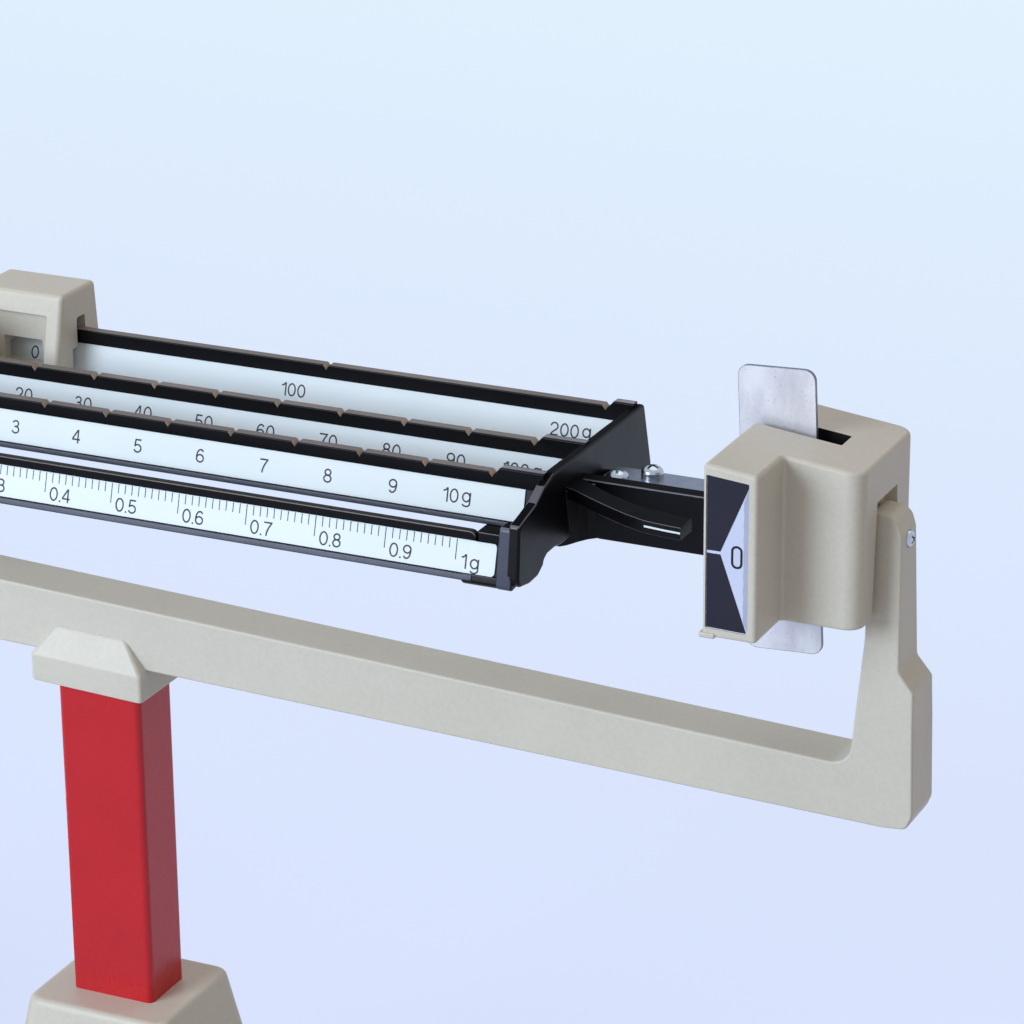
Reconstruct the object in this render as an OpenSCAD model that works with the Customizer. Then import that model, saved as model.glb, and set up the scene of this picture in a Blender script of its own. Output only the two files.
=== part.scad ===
// Four-beam laboratory balance, millimetres.
// X runs along the beams (pointer end right), Y to the back, Z up from the table.
// Inside the modules x = 0 is the post's centre; placed() then centres the whole object.

/* [Base] */
// Reach of the base to the left of the post's centre
base_left = 190; // [186:1:215]
// Reach of the base to the right of the post's centre
base_right = 66; // [60:1:100]
// Width of the narrow part of the base
base_w = 62; // [56:1:90]
// Width of the broad part under the pan
pad_w = 132; // [124:1:160]
// Length of the broad part
pad_len = 96; // [80:1:110]
// Corner radius of the base in plan
base_r = 16; // [8:1:24]
// Height of the skirt
skirt_h = 14; // [12:1:20]
// Wall of deck and skirt
base_wall = 3; // [2:0.5:4]
// Height of the boss above the deck
boss_h = 41.5; // [34:0.5:50]
// Width of the boss's top
boss_w = 40; // [36:1:48]
// Depth of the boss's top
boss_d = 35.4; // [30:0.5:42]
// Outward slope of the boss's sides, run over rise
boss_draft = 0.18; // [0.06:0.01:0.24]
// Height of the flare at the boss's foot
flare_h = 10; // [6:1:14]
// Depth of the post's socket in the boss
socket_h = 22; // [16:1:28]

/* [Feet] */
// Height of the rubber feet
foot_h = 5; // [4:0.5:8]
// Radius of the rubber feet
foot_r = 7; // [5:0.5:9]
// Distance of the feet from the edges of the base
foot_inset = 13; // [11:1:20]
// Radius of the levelling screw
level_r = 3; // [2.5:0.5:4]
// Radius of the levelling screw's wheel
wheel_r = 12; // [9:0.5:14]
// Height of the levelling screw's wheel
wheel_h = 5; // [4:0.5:7]
// Radius of the pad under the levelling screw
pad_r = 8; // [6:0.5:10]

/* [Post] */
// Width of the post
post_w = 23; // [18:0.5:26]
// Depth of the post
post_d = 16.4; // [14:0.2:20]
// Wall of the post
post_wall = 1.6; // [1.2:0.2:2.4]
// Outer corner radius of the post
post_r = 1.6; // [0.8:0.2:3]
// Length of post between boss and cap
post_show = 82.5; // [70:0.5:120]
// Radius of the tie bolt
tie_r = 3; // [2.5:0.5:4]

/* [Frame casting] */
// Thickness of the bar, front to back
bar_t = 14; // [12:0.5:15.5]
// Height of the bar at the post
bar_h = 16.1; // [14:0.1:20]
// Fall of the bar's top edge to the right, per length
top_fall = 0.0411; // [0:0.0001:0.06]
// Fall of the bar's lower edge to the right, per length
low_fall = 0.0288; // [0:0.0001:0.05]
// Length of post that the cap covers
cap_cover = 8.9; // [6:0.1:12]
// Width of the cap
cap_w = 31.2; // [28:0.2:36]
// How far the cap sits left of the post's centre
cap_shift = 1.9; // [0:0.1:2]
// Thickness of the cap's walls
cap_wall = 2.3; // [1.6:0.1:3]
// Chamfer at the cap's top corners
cap_chamfer = 7; // [3:0.5:8]
// Width of the upright at the step
upright_w = 8.3; // [7:0.1:10]
// Width that the step adds on the right
step_w = 3.6; // [2:0.1:5]
// Height of the step above the cap's lower edge
step_z = 38; // [30:1:46]
// Half thickness of the upright at its top, front
upright_top_t = 5.1; // [4:0.1:6]
// Half thickness of the upright at its top, back
upright_back_t = 4.2; // [3.6:0.1:6]
// Half thickness of the upright at its foot
upright_low_t = 7.4; // [6.5:0.1:8]
// Half width of the fulcrum pedestal along the beam
pedestal_half = 11; // [9:0.5:13]
// Thickness of the pedestal's cheeks
cheek_t = 6; // [5:0.5:8]

/* [Beam] */
// Height of the knife edges above the cap's lower edge
beam_rise = 78.5; // [70:0.5:110]
// Distance from the post's centre left to the fulcrum
fulcrum_left = 92; // [90:1:100]
// Distance from the fulcrum to the pan knife
pan_arm = 56; // [52:0.5:62]
// Distance from the post's centre right to the end plate
rails_right = 125; // [121:1:138]
// Distance from the fulcrum to the left cross plate
hub_reach = 14; // [13:0.5:18]
// Half width of the hub
hub_half = 17; // [15:0.5:19]
// Thickness of the rails' crests
crest_t = 2.8; // [2.4:0.1:3.4]
// Height of the crests
crest_h = 2.9; // [2.4:0.1:4.5]
// Height of the crests above the knife line
crest_rise = 1; // [0.8:0.1:2.2]
// Thickness of the webs that carry the scales
web_t = 1.9; // [1.5:0.1:2.4]
// Height of the webs
web_h = 9.1; // [8:0.1:10]
// Backward lean of the webs, run over rise
web_lean = 0.28; // [0.1:0.01:0.35]
// Height of the 1 g rail's web
web_1_h = 8.9; // [7.6:0.1:9]
// Height of the lip under each scale
lip_h = 1.2; // [0.6:0.1:1.4]
// How far lip and crest stand in front of the web
lip_out = 0.9; // [0.6:0.1:1.2]
// Distance of the 200 g rail behind the centre plane
rail_200_y = 32.1; // [31:0.1:34]
// Distance of the 100 g rail behind the centre plane
rail_100_y = 4.5; // [3.5:0.1:5.5]
// Distance of the 10 g rail before the centre plane
rail_10_y = 18.3; // [17.5:0.1:19]
// Distance of the 1 g rail before the centre plane
rail_1_y = 34.2; // [33.5:0.1:36]
// Drop of the 1 g rail's crest below the others
rail_1_drop = 8.6; // [8:0.1:10.5]
// Thickness of the end plate
plate_t = 2.4; // [2:0.1:3.4]

/* [Scales] */
// Spacing of the 10 g and 100 g rails' notches
notch_pitch = 16.7; // [16:0.1:17.2]
// Spacing of the 200 g rail's notches
notch_pitch_200 = 73.9; // [70:0.1:75]
// Distance between the 1 g rail's main marks
tick_pitch = 17.7; // [17:0.1:18]
// Half width of a notch
notch_half = 0.8; // [0.6:0.1:1.6]
// Distance of the last notches from the end plate
last_notch = 11.6; // [11:0.1:13]
// Distance of the last 200 g notch from the end plate
last_notch_200 = 5.9; // [5.5:0.1:8]
// Distance of the 1 g mark from the end plate
last_tick = 12.9; // [12:0.1:15]
// Length of bare rail after the 10 g and 1 g strips
strip_short = 3.3; // [1:0.1:4]
// Thickness of the scale strips
strip_t = 0.4; // [0.3:0.1:0.6]

/* [Pointer and vane] */
// Length of the pointer arm beyond the end plate's inner face
arm_len = 36; // [32:0.5:41]
// Thickness of the arm's front wall
arm_t = 4; // [3:0.5:5]
// Height of the arm's front wall
arm_h = 14.1; // [12:0.1:16]
// Drop of the arm's top below the knife line
arm_drop = 3.8; // [3:0.1:5]
// Reach of the finger in front of the arm
finger_reach = 20.5; // [16:0.5:22]
// Width of the finger, front to back
finger_w = 7; // [5:0.5:8]
// Thickness of the finger
finger_t = 3; // [2:0.1:4]
// Width of the vane
vane_w = 18.4; // [15:0.2:20]
// Height of the vane
vane_h = 67.2; // [62:0.2:72]
// Thickness of the vane's sheet
vane_t = 1; // [0.8:0.1:1.2]
// Distance of the vane's lower end below the index line
vane_drop = 34.5; // [31:0.1:37]
// Width of the vane's flange, front to back
flange_w = 13.5; // [12.5:0.1:15]
// Drop of the flange's seat below the arm's top
flange_drop = 3.6; // [3:0.1:5]
// Corner radius of the vane
vane_r = 2.6; // [1:0.1:4]
// Distance of the vane's middle from the arm's end
vane_ahead = 14.1; // [12.5:0.1:15]
// Lean of the vane's top towards the beam, degrees
vane_lean = 2.6; // [0:0.1:3]

/* [Indicator housing] */
// Gap between the pointer's tip and the housing
pointer_gap = 8.3; // [6:0.1:10]
// Length of the housing
housing_len = 31; // [30:0.5:34]
// Distance of the main block's front before the centre plane
housing_fore = 16.5; // [15.5:0.5:18]
// Depth of the main block
housing_d = 34; // [32:0.5:38]
// Height of the housing at its left end
housing_h = 40.3; // [38:0.1:44]
// Distance of the housing's lower end below the index line
housing_drop = 20.1; // [18:0.1:23]
// Fall of the housing's top to the right, per length
housing_fall = 0.118; // [0:0.002:0.16]
// Wall of the housing
housing_wall = 2; // [1.6:0.1:2.4]
// Radius of the main block's upright corners
housing_r = 4; // [2.5:0.1:5]
// Width of the label block
label_w = 12.7; // [11:0.1:14]
// How far the label block stands in front
label_out = 15; // [12:0.5:18]
// Width of the slot for the vane
vane_slot = 6.5; // [6:0.1:8]
// Depth of the upright's notch in the right wall
notch_d = 2.9; // [2.5:0.1:3.5]
// Thickness of the magnets
magnet_t = 7.5; // [6:0.5:8]
// Thickness of the label plate
label_t = 0.5; // [0.4:0.1:0.8]

/* [Hanger and pan] */
// Radius of the pan
pan_r = 50; // [44:1:52]
// Depth of the pan
pan_h = 11; // [8:0.5:18]
// Thickness of the pan's sheet
pan_t = 1; // [0.6:0.1:1.4]
// Radius of the plate that the pan rests on
rest_r = 31.4; // [24:0.1:36]
// Thickness of the plate that the pan rests on
rest_t = 6.2; // [3:0.1:8]
// Width of the bow's strip
bow_w = 8; // [6:0.5:10]
// Thickness of the bow's strip
bow_t = 1.8; // [1.4:0.1:2.4]
// Clearance between pan and bow on each side
bow_gap = 4.2; // [3:0.1:6]
// Clearance between the bow's foot and the deck
bow_lift = 5; // [4:0.5:8]
// Half angle of the knife edges, degrees
knife_angle = 30; // [25:1:35]
// Half width of the knives
knife_half = 2.4; // [2:0.1:3]

/* [Poises] */
// Length of the 200 g poise along the rail
poise_200_len = 25.2; // [24:0.1:30]
// Width of the 200 g poise's window
window_200 = 17.4; // [14:0.1:18]
// Length of the 100 g poise
poise_100_len = 22; // [20:0.1:24]
// Length of the 10 g poise
poise_10_len = 19; // [18:0.1:20]
// Length of the 1 g poise
poise_1_len = 9; // [8:0.1:10]
// Clearance between poise and rail
poise_gap = 0.6; // [0.4:0.1:0.8]

/* [Zero adjustment] */
// Radius of the zero stud
stud_r = 1.5; // [1.2:0.1:2]
// Length of the zero stud
stud_len = 26; // [22:1:30]
// Radius of the zero knob
knob_r = 7; // [5:0.5:8]
// Length of the zero knob
knob_len = 8; // [6:0.5:10]
// Travel of the zero knob each way
knob_travel = 4; // [2:0.5:5]

/* [Hidden] */
$fn = 48;

BEIGE = [0.77, 0.77, 0.73];
BLACK = [0.1, 0.1, 0.12];
RED = [0.72, 0.14, 0.16];
STEEL = [0.78, 0.79, 0.8];
WHITE = [0.92, 0.95, 0.98];
RUBBER = [0.12, 0.12, 0.12];

// clearances
fit = 0.05;       // running and threaded fits, radial
slip = 0.15;      // parts that slip together by hand
edge_gap = 0.05;  // knife edge to the bottom of its V groove
over = 1;         // cutting bodies run past the faces by this much
stop_gap = 0.55;  // hub to the pedestal's floor at rest
poise_roof = 3.6; // crest to the roof of a poise's passage

// heights above the table
deck_z = foot_h + skirt_h;
boss_z = deck_z + boss_h;
cap_z = boss_z + post_show;
bar_low = cap_z + cap_cover;
bar_top = bar_low + bar_h;
knife_z = cap_z + beam_rise;
crest_z = knife_z + crest_rise;
crest_low = crest_z - crest_h;
web_low = crest_low - web_h;
arm_top = knife_z - arm_drop;
arm_low = arm_top - arm_h;
index_z = knife_z - 5;

// places along the beam
fulcrum_x = -fulcrum_left;
pan_x = fulcrum_x - pan_arm;
cross_x = fulcrum_x + hub_reach;
rails_x = cross_x + 4;
arm_x = rails_right + arm_len;
housing_x = arm_x + pointer_gap;
housing_end = housing_x + housing_len;
upright_in = housing_end - notch_d + 0.5;
face_fall = 0.6;  // how far the upright's right face has drawn in at the screw
head_r = 1.9;     // housing screw's head
upright_out = upright_in + upright_w;
frame_end = upright_out + step_w + 0.7;
zero_x = rails_right - last_notch - 10 * notch_pitch;
zero_200_x = rails_right - last_notch_200 - 2 * notch_pitch_200;
zero_1_x = rails_right - last_tick - 10 * tick_pitch;

// the object's middle, so that the origin lies under the middle of its box
left_end = min(-base_left, pan_x - pan_r);
right_end = max(frame_end, base_right);
centre_x = (left_end + right_end) / 2;

// cross-section measures
nut_top = deck_z - base_wall;
level_x = base_right - wheel_r - 0.5;
level_top = deck_z + 3;
wheel_z = 5;
housing_low = index_z - housing_drop;
housing_back = housing_d - housing_fore;
label_front = -housing_fore - label_out;
slot_y = vane_t / 2 - vane_slot / 2;
slot_end = housing_end - 10;
vane_x = arm_x + vane_ahead;
vane_low = index_z - vane_drop;
web_back = crest_t / 2;
web_front = web_back - web_t;
cheek_in = hub_half + 3;
cheek_out = cheek_in + cheek_t;
floor_z = knife_z - 12.5 - stop_gap;
cheek_top = knife_z + 5.5;
bow_half = pan_r + bow_gap;
bow_low = deck_z + bow_lift;
bow_top = knife_z - 13.5;
rest_z = bow_low + bow_t;
pan_z = rest_z + rest_t;
poise_200_x = zero_200_x - 8.3;
poise_100_x = zero_x - 3;
poise_10_x = zero_x - 7.5;

function bar_top_at(x) = bar_top - top_fall * x;
function bar_low_at(x) = bar_low - low_fall * x;
function housing_top_at(x) = housing_low + housing_h - housing_fall * (x - housing_x);
crest_1_h = 2;    // height of the 1 g rail's crest
function wave(x, reach) = -reach + 0.069 * pow(arm_x - x, 1.5);

// moves the model so that x = 0 lies under the middle of its box
module placed() translate([-centre_x, 0, 0]) children();

// outline in X and Z, from y0 to y1
module xz_prism(points, y0, y1)
    translate([0, y1, 0]) rotate([90, 0, 0]) linear_extrude(y1 - y0) polygon(points);

// outline in Y and Z, from x0 to x1
module yz_prism(points, x0, x1)
    translate([x0, 0, 0]) rotate([90, 0, 90]) linear_extrude(x1 - x0) polygon(points);

// box between two corners
module box(low, high) translate(low) cube(high - low);

// plate outline with round corners, between two corners
module round_rect(low, high, r) {
    translate([low.x + r, low.y]) square([high.x - low.x - 2 * r, high.y - low.y]);
    translate([low.x, low.y + r]) square([high.x - low.x, high.y - low.y - 2 * r]);
    for (x = [low.x + r, high.x - r], y = [low.y + r, high.y - r]) translate([x, y]) circle(r);
}

module slab(low, high, r)
    translate([0, 0, low.z]) linear_extrude(high.z - low.z) round_rect([low.x, low.y], [high.x, high.y], r);

// cylinder along X or Y from one point
module rod_x(at, r, len) translate(at) rotate([0, 90, 0]) cylinder(r = r, h = len);
module rod_y(at, r, len) translate(at) rotate([-90, 0, 0]) cylinder(r = r, h = len);

// the base's two overlapping plates, drawn in by an inset
module base_plates(inset, low, high) {
    slab([-base_left + inset, -pad_w / 2 + inset, low],
         [-base_left + pad_len - inset, pad_w / 2 - inset, high], base_r - inset);
    slab([-base_left + pad_len / 2, -base_w / 2 + inset, low],
         [base_right - inset, base_w / 2 - inset, high], base_r - inset);
}

// one side of the boss from the middle of its top down to the deck
function boss_side(half) = [[0, boss_z], [half, boss_z], [half + boss_draft * (boss_h - flare_h), deck_z + flare_h],
                            [half + boss_draft * boss_h + 0.35 * flare_h, deck_z], [0, deck_z]];

// truncated pyramid whose top lies at boss_z, with a flared foot
module boss() intersection() {
    for (turn = [0, 1]) mirror([turn, 0, 0]) xz_prism(boss_side(boss_w / 2), -boss_d, boss_d);
    for (turn = [0, 1]) mirror([0, turn, 0]) yz_prism(boss_side(boss_d / 2), -boss_w, boss_w);
}

module base_casting() color(BEIGE) placed() {
    difference() {
        union() {
            base_plates(0, foot_h, deck_z);
            boss();
        }
        base_plates(base_wall, foot_h - over, deck_z - base_wall);
        // window in the skirt through which a finger turns the wheel
        box([level_x, -wheel_r, foot_h - over], [base_right + over, wheel_r, wheel_z + wheel_h + 3]);
        // socket for the post
        box([-post_w / 2 - slip, -post_d / 2 - slip, boss_z - socket_h],
            [post_w / 2 + slip, post_d / 2 + slip, boss_z + over]);
        translate([0, 0, foot_h]) cylinder(r = tie_r + slip, h = boss_h + skirt_h);
        translate([level_x, 0, foot_h]) cylinder(r = level_r + fit, h = skirt_h + over);
        for (side = [-1, 1]) translate([foot_x(), side * foot_y(), foot_h - over])
            cylinder(r = 2 + slip, h = 6 + over);
    }
    // bosses that the rubber feet push into
    for (side = [-1, 1]) translate([foot_x(), side * foot_y(), foot_h]) difference() {
        cylinder(r = foot_r - 1, h = skirt_h - base_wall);
        translate([0, 0, -over]) cylinder(r = 2 + slip, h = 6 + over);
    }
}

function foot_x() = -base_left + foot_inset;
function foot_y() = pad_w / 2 - foot_inset;

module fixed_feet() color(RUBBER) placed()
    for (side = [-1, 1]) translate([foot_x(), side * foot_y(), 0]) {
        cylinder(r = foot_r, h = foot_h);
        translate([0, 0, foot_h]) cylinder(r = 2, h = 5);
    }

module levelling_screw() color(STEEL) placed() translate([level_x, 0, 0]) {
    translate([0, 0, wheel_z]) cylinder(r = wheel_r, h = wheel_h);
    // shoulder that stops against the deck when the foot is screwed in
    translate([0, 0, wheel_z + wheel_h])
        cylinder(r = level_r + 2.5, h = deck_z - base_wall - wheel_z - wheel_h);
    translate([0, 0, 2]) cylinder(r = level_r, h = level_top);
}

module foot_pad() color(RUBBER) placed() translate([level_x, 0, 0]) difference() {
    cylinder(r = pad_r, h = wheel_z - 0.3);
    translate([0, 0, 2 - fit]) cylinder(r = level_r + fit, h = wheel_z);
}

module post_tube() color(RED) placed() difference() {
    slab([-post_w / 2, -post_d / 2, boss_z - socket_h], [post_w / 2, post_d / 2, bar_low_at(post_w / 2)], post_r);
    slab([-post_w / 2 + post_wall, -post_d / 2 + post_wall, boss_z - socket_h - over],
         [post_w / 2 - post_wall, post_d / 2 - post_wall, bar_low + over], 0.6);
}

module tie_bolt() color(STEEL) placed()
    translate([0, 0, nut_top - 8]) cylinder(r = tie_r, h = bar_low + 17 - nut_top);

module tie_nut() color(STEEL) placed() difference() {
    union() {
        translate([0, 0, nut_top - 6]) cylinder(r = tie_r * 1.9, h = 5, $fn = 6);
        translate([0, 0, nut_top - 1]) cylinder(r = tie_r * 2.2, h = 1);
    }
    translate([0, 0, foot_h]) cylinder(r = tie_r + fit, h = boss_z);
}

// V block: groove bottom on the knife line, open upwards or downwards
module v_block(up, y0, y1) {
    s = up ? 1 : -1;
    top = 2;
    half = top * tan(55);
    low = up ? 5.5 : 5;
    xz_prism([[-4.2, s * top], [-half, s * top], [0, -s * edge_gap], [half, s * top], [4.2, s * top],
              [4.2, -s * low], [-4.2, -s * low]], y0, y1);
}

// knife with its edge on the knife line, pointing down or up
module knife(down, y0, y1) {
    s = down ? 1 : -1;
    rise = knife_half / tan(knife_angle);
    xz_prism([[0, 0], [knife_half, s * rise], [knife_half, s * (rise + 1.1)],
              [-knife_half, s * (rise + 1.1)], [-knife_half, s * rise]], y0, y1);
}

// step and foot of the upright on the right
module upright_outline() {
    z_step = cap_z + step_z;
    top = knife_z - 0.8;
    foot = bar_top_at(upright_in - 7);
    xz_prism([[upright_in - 6.6, foot], [upright_in - 2.4, foot + 4], [upright_in, z_step + 10],
              [upright_in, top], [upright_out - 3.2, top - 0.6], [upright_out - 1.5, top - 2.2],
              [upright_out - face_fall, top - 5], [upright_out, z_step + 2.8],
              [upright_out + step_w - 0.4, z_step], [upright_out + step_w, z_step - 1.3],
              [frame_end, bar_low_at(frame_end) + 4], [frame_end - 1.4, bar_low_at(frame_end) + 0.6],
              [frame_end - 7, bar_low_at(frame_end - 7)], [upright_in - 6.6, bar_low_at(upright_in - 6.6)]],
             -bar_t, bar_t);
}

module frame_casting() color(BEIGE) placed() difference() {
    union() {
        xz_prism([[fulcrum_x, bar_low_at(fulcrum_x)], [upright_in - 5, bar_low_at(upright_in - 5)],
                  [upright_in - 5, bar_top_at(upright_in - 5)], [fulcrum_x, bar_top_at(fulcrum_x)]],
                 -bar_t / 2, bar_t / 2);
        intersection() {
            upright_outline();
            yz_prism([[-upright_low_t, cap_z], [upright_low_t, cap_z], [upright_low_t, cap_z + 10],
                      [upright_back_t, knife_z + over], [-upright_top_t, knife_z + over],
                      [-upright_low_t, cap_z + 10]], upright_in - 20, frame_end + over);
        }
        cap();
        pedestal();
    }
    // the post's end and the tie bolt's thread
    box([-post_w / 2 - slip, -post_d / 2 - slip, cap_z - over],
        [post_w / 2 + slip, post_d / 2 + slip, bar_low_at(post_w / 2)]);
    translate([0, 0, cap_z]) cylinder(r = tie_r + fit, h = cap_cover + 11);
    // pockets for the bearings, open above
    for (side = [-1, 1]) mirror([0, side < 0 ? 1 : 0, 0])
        box([fulcrum_x - 4.2, cheek_in - over, knife_z - 5.5], [fulcrum_x + 4.2, cheek_out + over, cheek_top + over]);
    for (side = [-1, 1], x = [-4, 4])
        rod_y([fulcrum_x + x, side > 0 ? cheek_out - 5 : -cheek_out - over, knife_z - 9], 1.25 + fit, 5 + over);
    rod_x([upright_in - over, 0, screw_z()], 1.5 + slip, upright_w + 2 * over);
    rod_x([upright_out - face_fall - 0.8, 0, screw_z()], head_r + slip, 4);
}

function screw_z() = knife_z - 7.7;

module cap() {
    low = cap_z + 1.7;
    top = cap_z + 16.5;
    half = cap_w / 2;
    flat = half - cap_chamfer * 0.8;
    y = post_d / 2 + cap_wall;
    // its edges fall to the right as the bar's top does
    translate([-cap_shift, 0, 0])
        xz_prism([[-half, low + top_fall * half], [half, low - top_fall * half],
                  [half, top - cap_chamfer - top_fall * half], [flat, top - top_fall * flat],
                  [-flat, top + top_fall * flat], [-half, top - cap_chamfer + top_fall * half]], -y, y);
}

module pedestal() intersection() {
    xz_prism([[fulcrum_x - pedestal_half - 3, bar_low_at(fulcrum_x)],
              [fulcrum_x + pedestal_half + 8, bar_low_at(fulcrum_x)],
              [fulcrum_x + pedestal_half + 3, bar_top_at(fulcrum_x) + 6],
              [fulcrum_x + pedestal_half, floor_z - 6], [fulcrum_x + pedestal_half, floor_z],
              [fulcrum_x + 8, cheek_top], [fulcrum_x - 8, cheek_top],
              [fulcrum_x - pedestal_half, floor_z], [fulcrum_x - pedestal_half, floor_z - 6]],
             -cheek_out - over, cheek_out + over);
    yz_prism([[-bar_t / 2, cap_z], [bar_t / 2, cap_z], [bar_t / 2, bar_top + 8], [cheek_out, floor_z - 10],
              [cheek_out, cheek_top + over], [cheek_in, cheek_top + over], [cheek_in, floor_z],
              [-cheek_in, floor_z], [-cheek_in, cheek_top + over], [-cheek_out, cheek_top + over],
              [-cheek_out, floor_z - 10], [-bar_t / 2, bar_top + 8]],
             fulcrum_x - 3 * pedestal_half, fulcrum_x + 3 * pedestal_half);
}

module fulcrum_bearings() color(STEEL) placed() translate([fulcrum_x, 0, knife_z])
    for (side = [-1, 1]) mirror([0, side < 0 ? 1 : 0, 0])
        v_block(true, cheek_in + 0.5, cheek_out - 0.3);

module bearing_covers() color(STEEL) placed() translate([fulcrum_x, 0, knife_z])
    for (side = [-1, 1]) mirror([0, side < 0 ? 1 : 0, 0]) difference() {
        box([-7, cheek_out, -12], [7, cheek_out + 1.2, 5]);
        for (x = [-4, 4]) rod_y([x, cheek_out - over, -9], 1.25 + slip, 4);
    }

module cover_screws() color(STEEL) placed() translate([fulcrum_x, 0, knife_z - 9])
    for (side = [-1, 1], x = [-4, 4]) mirror([0, side < 0 ? 1 : 0, 0]) {
        rod_y([x, cheek_out - 4, 0], 1.25, 5.2);
        rod_y([x, cheek_out + 1.2, 0], 2.2, 1.4);
    }

// plan of the housing: main block and label block
module housing_plan(inset) {
    r = housing_r - inset;
    translate([housing_x + inset, -housing_fore + inset])
        square([housing_len / 2, housing_d - 2 * inset]);
    round_rect([housing_x + inset, -housing_fore + inset], [housing_end - inset, housing_back - inset], max(r, 1));
    translate([housing_x + inset, label_front + inset]) square([label_w - 2 * inset, label_out + 5]);
}

module housing_block(inset, low)
    intersection() {
        translate([0, 0, low]) linear_extrude(housing_h) housing_plan(inset);
        xz_prism([[housing_x - over, low], [housing_end + over, low],
                  [housing_end + over, housing_top_at(housing_end + over) - inset],
                  [housing_x - over, housing_top_at(housing_x - over) - inset]],
                 label_front - over, housing_back + over);
    }

module indicator_housing() color(BEIGE) placed() difference() {
    housing_block(0, housing_low);
    difference() {
        housing_block(housing_wall, housing_low + housing_wall);
        // the right wall is thick enough for the upright's notch
        box([housing_end - notch_d - housing_wall, -housing_fore, housing_low],
            [housing_end, housing_back, housing_low + housing_h]);
        // the label block's front wall is thick enough for the plate
        box([housing_x, label_front, housing_low],
            [housing_x + label_w, label_front + housing_wall + 1, housing_low + housing_h]);
    }
    // slot for the vane, open to the left
    box([housing_x - over, slot_y, housing_low - over], [slot_end, slot_y + vane_slot, housing_low + housing_h + over]);
    // notch for the upright, open below
    yz_prism([[-9, housing_low - over], [7.8, housing_low - over], [6.2, knife_z + 2.2], [-6.7, knife_z + 2.2]],
             housing_end - notch_d, housing_end + over);
    rod_x([housing_end - notch_d - housing_wall - over, 0, screw_z()], 1.5 + slip, housing_wall + 2 * over);
    label_shape(label_front - over, label_front + 0.9, 0.1);
}

module label_shape(y0, y1, gap) {
    left = housing_x + 0.8 - gap;
    right = housing_x + label_w - 2.1 + gap;
    xz_prism([[left, housing_low + 1.2 - gap], [right, housing_low + 1.2 - gap],
              [right, housing_top_at(right) - 1.6 + gap], [left, housing_top_at(left) - 1.6 + gap]], y0, y1);
}

module label_plate() color(WHITE) placed()
    label_shape(label_front + 0.9 - label_t, label_front + 0.9, 0);

module housing_screw() color(STEEL) placed() {
    inner = housing_end - notch_d - housing_wall - 6;
    seat = upright_out - face_fall - 0.8;
    rod_x([inner, 0, screw_z()], 1.5, seat + 0.1 - inner);
    rod_x([seat, 0, screw_z()], head_r, 1.9);
}

module magnet_yoke() color(STEEL) placed() {
    wall_x = housing_end - notch_d - housing_wall;
    y = 2.2 + magnet_t;
    mid = vane_t / 2;
    difference() {
        box([wall_x - 20, mid - y - 2, index_z - 13], [wall_x, mid + y + 2, index_z + 7]);
        box([wall_x - 20 - over, mid - y, index_z - 13 - over], [wall_x - 2, mid + y, index_z + 7 + over]);
        rod_x([wall_x - 3, 0, screw_z()], 1.5 + fit, 4);
    }
}

module damper_magnets() color(BLACK) placed() {
    wall_x = housing_end - notch_d - housing_wall;
    for (side = [-1, 1]) translate([0, vane_t / 2, 0]) mirror([0, side < 0 ? 1 : 0, 0])
        box([wall_x - 19, 2.2, index_z - 12], [wall_x - 7, 2.2 + magnet_t, index_z + 6]);
}

// crest, leaning web and lower lip of one rail, in Y and Z
module rail(y, drop, crest, web, x0, x1) {
    low = crest_z - drop - crest;
    lip = low - web;
    yz_prism([[y - crest_t / 2, low], [y - crest_t / 2, crest_z - drop], [y + crest_t / 2, crest_z - drop],
              [y + crest_t / 2, low],
              [y + web_back - web_lean * web, lip], [y + web_front - lip_out - web_lean * web, lip],
              [y + web_front - lip_out - web_lean * (web - lip_h), lip + lip_h],
              [y + web_front - web_lean * (web - lip_h), lip + lip_h], [y + web_front, low]], x0, x1);
}

module notches(y, count, pitch, last)
    for (i = [0:count]) translate([rails_right - last - i * pitch, 0, 0])
        xz_prism([[0, knife_z], [notch_half, crest_z + 0.01], [notch_half, crest_z + over],
                  [-notch_half, crest_z + over], [-notch_half, crest_z + 0.01]],
                 y - crest_t / 2 - over, y + crest_t / 2 + over);

// raised end of a crest, its ramp rising from the last notch
module end_stop(y, last) {
    x = rails_right - last + notch_half;
    xz_prism([[x, crest_low], [rails_right + 1, crest_low], [rails_right + 1, crest_z + 1], [x + 1.3, crest_z + 1],
              [x, crest_z]], y - crest_t / 2, y + crest_t / 2);
}

// outline of the end plates in Y and Z
function plate_outline(front_top) = [
    [rail_200_y + 3, knife_z + 1.6], [-rail_10_y + 2, knife_z + 1.6], [-rail_10_y - 3, knife_z + 0.1],
    [-rail_10_y - 8, knife_z - 2.5], [-rail_1_y - 1.4, front_top], [-rail_1_y - 3.8, knife_z - 19.1],
    [-rail_1_y + 7.4, knife_z - 19.1], [-rail_10_y - 4.5, knife_z - 16], [rail_200_y + 5.7, knife_z - 15.5]];

// pointer finger seen from above
module finger() {
    steps = 12;
    x0 = rails_right + 0.5;
    xs = [for (i = [0:steps]) x0 + (arm_x - x0) * i / steps];
    back = [for (i = [steps:-1:0]) [xs[i], min(wave(xs[i], finger_reach + arm_t - finger_w), -arm_t / 2)]];
    front = [for (x = xs) [x, wave(x, finger_reach + arm_t)]];
    translate([0, 0, arm_top - finger_t]) linear_extrude(finger_t) polygon(concat(front, back));
}

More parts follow.
